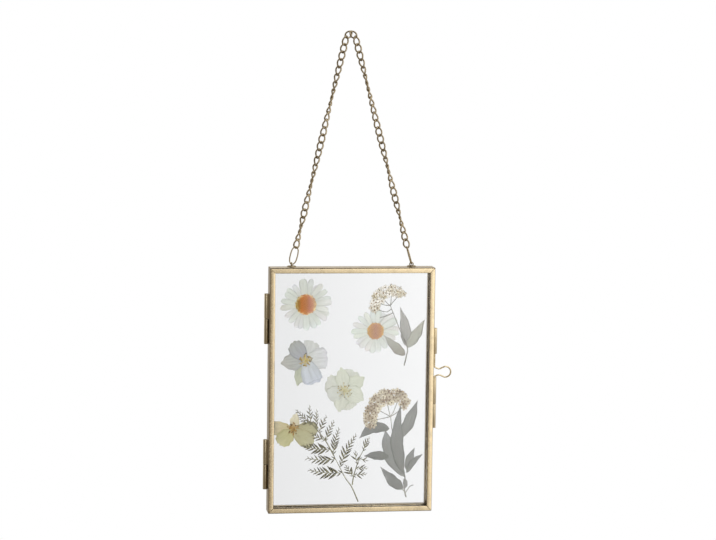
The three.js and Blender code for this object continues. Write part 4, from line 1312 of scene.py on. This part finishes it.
# %% The three parts of the frond
STALK = [(6.3, -71.6), (2.1, -62.2), (-2.0, -56.4), (-5.9, -49.0), (-9.4, -42.2)]
TOP = [(-9.4, -42.2), (-14.7, -32.6), (-19.8, -26.0), (-24.8, -20.4)]
SIDE_BRANCH = [(2.5, -60.9), (3.2, -56.0), (4.6, -50.6), (6.8, -44.0), (9.6, -38.0)]
# pinnae: share of the rachis where each leaves it, its tip, the length of its longest pinnules
STALK_PINNAE = [(0.6, (-24.5, -51), 6.3), (0.9, (-26.3, -43.5), 5.9), (0.73, (4.3, -29.2), 5.6)]
TOP_PINNAE = [(0.14, (-29, -35.4), 5.6), (0.05, (-6.6, -25.1), 4.8), (0.36, (-23.7, -27.4), 4.2),
              (0.34, (-9.8, -20.3), 4.4), (0.6, (-14.6, -17), 4.0), (0.76, (-20.5, -13.3), 3.7),
              (0.92, (-31.3, -18.4), 3.6), (0.96, (-25.1, -10.1), 3.6), (0.97, (-33.5, -12.6), 3.6)]
SIDE_PINNAE = [(0.28, (-1.6, -48.5), 4.2), (0.3, (10.9, -54.2), 4.2), (0.52, (11.6, -50.6), 4.0),
               (0.6, (4.4, -39.6), 4.0), (0.74, (12, -45.6), 3.7), (0.96, (12.9, -31), 4.2)]
PINNULE_REACH = 1.06
PINNULE_SHARES = (0.55, 0.85, 1.0, 0.97, 0.86, 0.72, 0.58, 0.42, 0.3)      # along a pinna
PINNA_SAG, PINNA_START, RIB, SLANT = 0.04, 0.06, 0.2, 38
STALK_FOOT, STALK_TAPER, SPINE_POINTS, SPINE_REACH = 0.42, 0.24, 24, 0.02


def frond_part(part, node_name, rachis, pinnae, spacing):
    """Pinnules on the lines of the pinnae, and a stalk along the rachis."""
    depth = layer_of(node_name)
    spine = smooth_line([spot(*point, depth) for point in rachis], SPINE_POINTS)
    lines = []
    for share, tip, longest in pinnae:
        foot, end = spine[round(share * (SPINE_POINTS - 1))], spot(*tip, depth)
        sag = (end - foot).cross(Vector((0, 1, 0))) * PINNA_SAG
        line = [foot.lerp(end, PINNA_START), foot.lerp(end, 0.5) + sag, end]
        lines.append((smooth_line(line, len(PINNULE_SHARES)),
                      [longest * PINNULE_REACH * size for size in PINNULE_SHARES]))
    lines.append((spine, [SPINE_REACH] * SPINE_POINTS))
    vertices, edges, reach = [], [], []
    for points, lengths in lines:
        edges += [(len(vertices) + i, len(vertices) + i + 1) for i in range(len(points) - 1)]
        vertices += points
        reach += [length * MM for length in lengths]
    name = f"fern_{part}_frond"
    mesh = grown(feather, new_mesh(name, vertices, [], edges, reach=reach), Blade=blade_object,
                 Spacing=spacing * MM, Slant=math.radians(SLANT), Rib=RIB * MM, Material=FERN)
    thickness = [(STALK_FOOT - STALK_TAPER * i / (SPINE_POINTS - 1)) * MM
                 for i in range(SPINE_POINTS)]
    stalk = new_mesh("stalk", *tube(spine, thickness, 7, flat=0.6))
    work = bmesh.new()
    for leafy in (mesh, facing_out(stalk)):
        work.from_mesh(leafy)
    work.to_mesh(mesh)
    work.free()
    place_piece(name, mesh, FERN, node_name)


frond_part("lower", "fern_stalk", STALK, STALK_PINNAE, 2.5)
frond_part("upper", "fern_top", TOP, TOP_PINNAE, 2.1)
frond_part("side", "fern_side_branch", SIDE_BRANCH, SIDE_PINNAE, 2.0)

# %% [markdown]
# ## Sprigs
# Each sprig has a thin stem, grey-green leaves with a midrib, and a flat head of tiny florets. A
# leaf is drawn along its midrib, widest below its middle, with a slightly wavy edge.

# %% Leaves along their midribs
LEAF_POINTS, LEAF_COLUMNS, LEAF_TIP = 21, 8, 0.06
LEAF_WAVE, LEAF_RAGGED = 0.07, 0.03
LEAF_TONES = (126, 152)


def along_line(line):
    """Each point of a line with its direction and its share of the way."""
    last = len(line) - 1
    for i, point in enumerate(line):
        yield point, (line[min(i + 1, last)] - line[max(i - 1, 0)]).normalized(), i / last


def leaf(sprig, number, midrib, width, foot_hue, tip_hue, seed):
    """One leaf, pointed at both ends."""
    name, node_name = f"{sprig}_leaf_{number}", f"{sprig}_sprig_leaf_{number}"
    sheets = Sheets(seed)
    left, right = [], []
    for i, (point, along, share) in enumerate(along_line(smooth_line(midrib, LEAF_POINTS))):
        full = max(math.sin(math.pi * share ** 0.85), 0.0) ** (0.7 + 0.5 * share)
        half = width / 2 * full + LEAF_TIP
        for edge, way in ((left, 1), (right, -1)):
            wave = (1 + LEAF_WAVE * math.sin(0.9 * i + seed * 2 + way)
                    + sheets.dice.uniform(-LEAF_RAGGED, LEAF_RAGGED))
            edge.append((point.x - along.y * half * way * wave,
                         point.y + along.x * half * way * wave))
    sheets.add(left, right, layer_of(node_name), foot_hue, tip_hue, LEAF_COLUMNS, relief=0.1)
    place_piece(name, sheets.mesh(name), SKINS[f"{sprig}_leaf"], node_name)


UPPER_LEAVES = [
    ([(35.2, 27.5), (35.1, 38.0), (31.5, 51.9)], 6.6, (166, 165, 160), (178, 176, 172)),
    ([(36.2, 26.2), (41.6, 34.2), (47.1, 43.9)], 6.4, (176, 176, 166), (190, 190, 178)),
    ([(34.8, 21.6), (29.0, 26.4), (21.3, 34.2)], 6.0, (158, 153, 142), (182, 182, 174)),
]
LOWER_LEAVES = [
    ([(35.9, -56.2), (28.0, -45.0), (24.4, -34.0), (23.0, -25.6)], 8.6),
    ([(33.4, -30.8), (38.6, -20.0), (43.4, -7.5)], 7.2),
    ([(34.6, -53.0), (31.2, -40.0), (30.6, -26.0), (32.6, -9.5)], 8.2),
    ([(25.6, -25.2), (15.0, -24.4), (6.4, -31.1)], 7.2),
    ([(25.4, -43.4), (18.0, -42.2), (9.6, -42.4)], 5.6),
    ([(36.7, -51.6), (38.9, -44.4), (42.0, -37.6)], 4.6),
    ([(37.0, -53.6), (41.2, -46.6), (47.2, -41.6)], 3.6),
    ([(35.8, -57.2), (36.4, -61.0), (35.9, -64.2)], 2.8),
    ([(35.0, -63.8), (28.4, -58.8), (20.2, -49.6)], 6.8),
]
for i, (midrib, width, foot_hue, tip_hue) in enumerate(UPPER_LEAVES, 1):
    leaf("upper", i, midrib, width, shade(*foot_hue), shade(*tip_hue), i)
leaf_tones = random.Random(6)
for i, (midrib, width) in enumerate(LOWER_LEAVES, 1):
    tone = leaf_tones.uniform(*LEAF_TONES)
    leaf("lower", i, midrib, width, shade(tone - 6, tone - 5, tone - 10),
         shade(tone + 4, tone + 5, tone + 3), 40 + i)

# %% [markdown]
# The stems are wires pressed flat. The first line of each sprig is its main stem, and the others
# are the short stalks that carry the florets.

# %% Stems
STEM, stem_tree, stem_shader = new_material("sprig_stem", 0.7)
stem_tree.feed(stem_shader, {"Base Color": stem_tree.mix(
    stem_tree.span(stem_tree.noise(300.0), 0.35, 0.65), shade(112, 112, 104),
    shade(158, 156, 146))})
STALK_END = 0.8      # share of a stalk's radius that is left at its tip
UPPER_FORK, LOWER_FORK = (25.0, 53.0), (26.3, -17.6)
UPPER_STALKS = [
    [(34.4, 15.0), (35.8, 21.3), (36.2, 26.4), (31.0, 38.5), UPPER_FORK],
    [UPPER_FORK, (25.4, 55.2), (25.6, 59.0)], [UPPER_FORK, (22.6, 55.0), (20.6, 58.2)],
    [UPPER_FORK, (22.2, 53.2), (18.0, 54.4)], [(26.0, 51.0), (22.6, 49.0), (17.2, 50.4)],
    [(27.0, 48.6), (23.0, 46.6), (18.4, 45.4)], [UPPER_FORK, (27.4, 56.0), (30.6, 59.6)],
]
LOWER_STALKS = [
    [(37.0, -69.4), (35.8, -64.0), (36.0, -56.0), (33.0, -48.0), (29.5, -36.0), (27.6, -27.0),
     LOWER_FORK],
    [(36.4, -66.8), (39.4, -62.6), (41.6, -61.6)], [(36.0, -65.6), (33.4, -63.6)],
    [LOWER_FORK, (28.2, -14.4), (30.4, -8.6)], [LOWER_FORK, (25.4, -14.6), (24.0, -8.6)],
    [LOWER_FORK, (23.4, -16.0), (18.6, -13.4)], [LOWER_FORK, (22.8, -18.4), (16.6, -19.6)],
    [LOWER_FORK, (30.4, -15.0), (34.6, -11.2)],
]


def stems(sprig, lines, foot_radius, tip_radius):
    """A sprig's stem and stalks, thinner towards their tips."""
    name, node_name = f"{sprig}_stem", f"{sprig}_sprig_stem"
    depth = layer_of(node_name)
    parts = []
    for i, line in enumerate(lines):
        points = smooth_line([spot(*point, depth) for point in line], 6 * len(line))
        thick = tip_radius if i else foot_radius
        radii = [(thick + (tip_radius * STALK_END - thick) * k / (len(points) - 1)) * MM
                 for k in range(len(points))]
        parts.append(tube(points, radii, 7, flat=0.5))
    place_piece(name, facing_out(new_mesh(name, *joined(parts))), STEM, node_name)


stems("upper", UPPER_STALKS, 0.42, 0.26)
stems("lower", LOWER_STALKS, 0.5, 0.28)

# %% [markdown]
# The heads are crowds of tiny five-petalled florets on an arc. Geometry nodes scatter one floret
# over the band of the head with a fixed seed, each turned, sized and toned at random.

# %% A node tree that scatters florets
FLORET_TILT, FLORET_SIZES = 0.03, (0.7, 1.15)
crowd, given = geometry_tree("floret_head", Floret="Object", Distance="Float", Density="Float",
                             Layers="Float", Seed="Int", Material="Material")
scatter = crowd.node("GeometryNodeDistributePointsOnFaces", Mesh=given["Geometry"],
                     Distance_Min=given["Distance"], Density_Max=given["Density"],
                     Seed=given["Seed"], distribute_method="POISSON").outputs["Points"]
height = crowd.times(drawn(crowd, -0.5, 0.5, 3), given["Layers"])
stacked = crowd.out("GeometryNodeSetPosition", Geometry=scatter,
                    Offset=crowd.vector(0.0, height, 0.0))
turn = crowd.out("FunctionNodeRandomValue", (-FLORET_TILT, 0.0, -FLORET_TILT),
                 (FLORET_TILT, math.tau, FLORET_TILT), Seed=1, data_type="FLOAT_VECTOR")
flower = crowd.node("GeometryNodeObjectInfo", Object=given["Floret"]).outputs["Geometry"]
crowded = crowd.out("GeometryNodeInstanceOnPoints", Points=stacked, Instance=flower,
                    Rotation=turn, Scale=drawn(crowd, *FLORET_SIZES, 2))
picked = crowd.out("GeometryNodeStoreNamedAttribute", Geometry=crowded, Name="pick",
                   Value=drawn(crowd, 0.0, 1.0, 4), data_type="FLOAT", domain="INSTANCE")
finish_tree(crowd, picked, given["Material"])

# %% [markdown]
# One floret is five flat petals round a knob. `heart` marks the knob, which is brown, and `pick` is
# drawn once for each floret, so that pale and warm ones lie side by side.

# %% One floret and its finishes
PETAL = [(0.25, 0.0, 0.28), (1.25, -0.03, 0.74), (2.0, 0.0, 0.4)]      # reach, lift and radius
KNOB = [(0.03, 0.5), (-0.06, 0.42), (-0.1, 0.15)]      # depth and radius
KNOB_SIDES = 7
floret_parts = []
for k in range(5):
    way = leaning(72 * k)
    points = [Vector((way[0] * reach, lift, way[1] * reach)) * MM for reach, lift, _ in PETAL]
    floret_parts.append(tube(points, [radius * MM for *_, radius in PETAL], 6, flat=0.12))
heart = [0.0] * sum(len(vertices) for vertices, _ in floret_parts) + [1.0] * KNOB_SIDES * len(KNOB)
floret_parts.append(tube([Vector((0, depth, 0)) * MM for depth, _ in KNOB],
                         [radius * MM for _, radius in KNOB], KNOB_SIDES, normal=(1, 0, 0)))
floret_object = added("floret", facing_out(new_mesh("floret", *joined(floret_parts), heart=heart)))


def floret_skin(name, pale, warm, centre):
    """Florets between two tones with a brown heart."""
    material, tree, shader = new_material(name, 0.85)
    ground = tree.mix(tree.carried("pick"), pale, warm)
    mottled = tree.mix(tree.span(tree.noise(900.0), 0.45, 0.7, 0.0, 0.4), ground, centre)
    tree.feed(shader, {"Base Color": tree.mix(tree.carried("heart"), mottled, centre)})
    return material


UPPER_FLORETS = floret_skin("upper_florets", shade(240, 237, 229), shade(194, 183, 152),
                            shade(140, 114, 74))
LOWER_FLORETS = floret_skin("lower_florets", shade(232, 224, 200), shade(150, 131, 108),
                            shade(98, 76, 56))
print("floret vertices:", len(heart))

# %% [markdown]
# A head's band follows an arc and narrows at both ends. It is only the ground that the florets are
# scattered on, and is gone once they are real.

# %% Both floret heads
FLORET_SPACE, FLORET_DENSITY, FLORET_LAYERS = 1.9, 2.0e6, 0.08      # mm, most in m2, mm
BAND_POINTS, BAND_END, FLORET_MARGIN = 25, 0.12, 1.25


def floret_head(sprig, arc_points, width, seed, material):
    """A crowd of florets on an arc."""
    name, node_name = f"{sprig}_floret_head", f"{sprig}_sprig_florets"
    depth = layer_of(node_name)
    vertices = []
    for point, along, share in along_line(smooth_line(arc_points, BAND_POINTS)):
        full = math.sin(math.pi * (BAND_END + (1 - 2 * BAND_END) * share)) ** 0.5
        half = width / 2 * full - FLORET_MARGIN
        vertices += [spot(point.x - along.y * half, point.y + along.x * half, depth),
                     spot(point.x + along.y * half, point.y - along.x * half, depth)]
    faces = [(2 * i, 2 * i + 1, 2 * i + 3, 2 * i + 2) for i in range(BAND_POINTS - 1)]
    mesh = grown(crowd, new_mesh(name, vertices, faces), Floret=floret_object,
                 Distance=FLORET_SPACE * MM, Density=FLORET_DENSITY, Layers=FLORET_LAYERS * MM,
                 Seed=seed, Material=material)
    place_piece(name, mesh, material, node_name)


floret_head("upper", [(14.6, 50.0), (15.6, 55.0), (19.1, 59.8), (25.0, 62.2), (34.0, 60.6)],
            9.2, 7, UPPER_FLORETS)
floret_head("lower", [(13.4, -23.6), (13.8, -15.0), (17.8, -8.4), (24.2, -4.8), (31.3, -5.2),
                      (36.8, -10.4)], 11.4, 8, LOWER_FLORETS)
for pattern in (blade_object, floret_object):
    bpy.data.objects.remove(pattern)
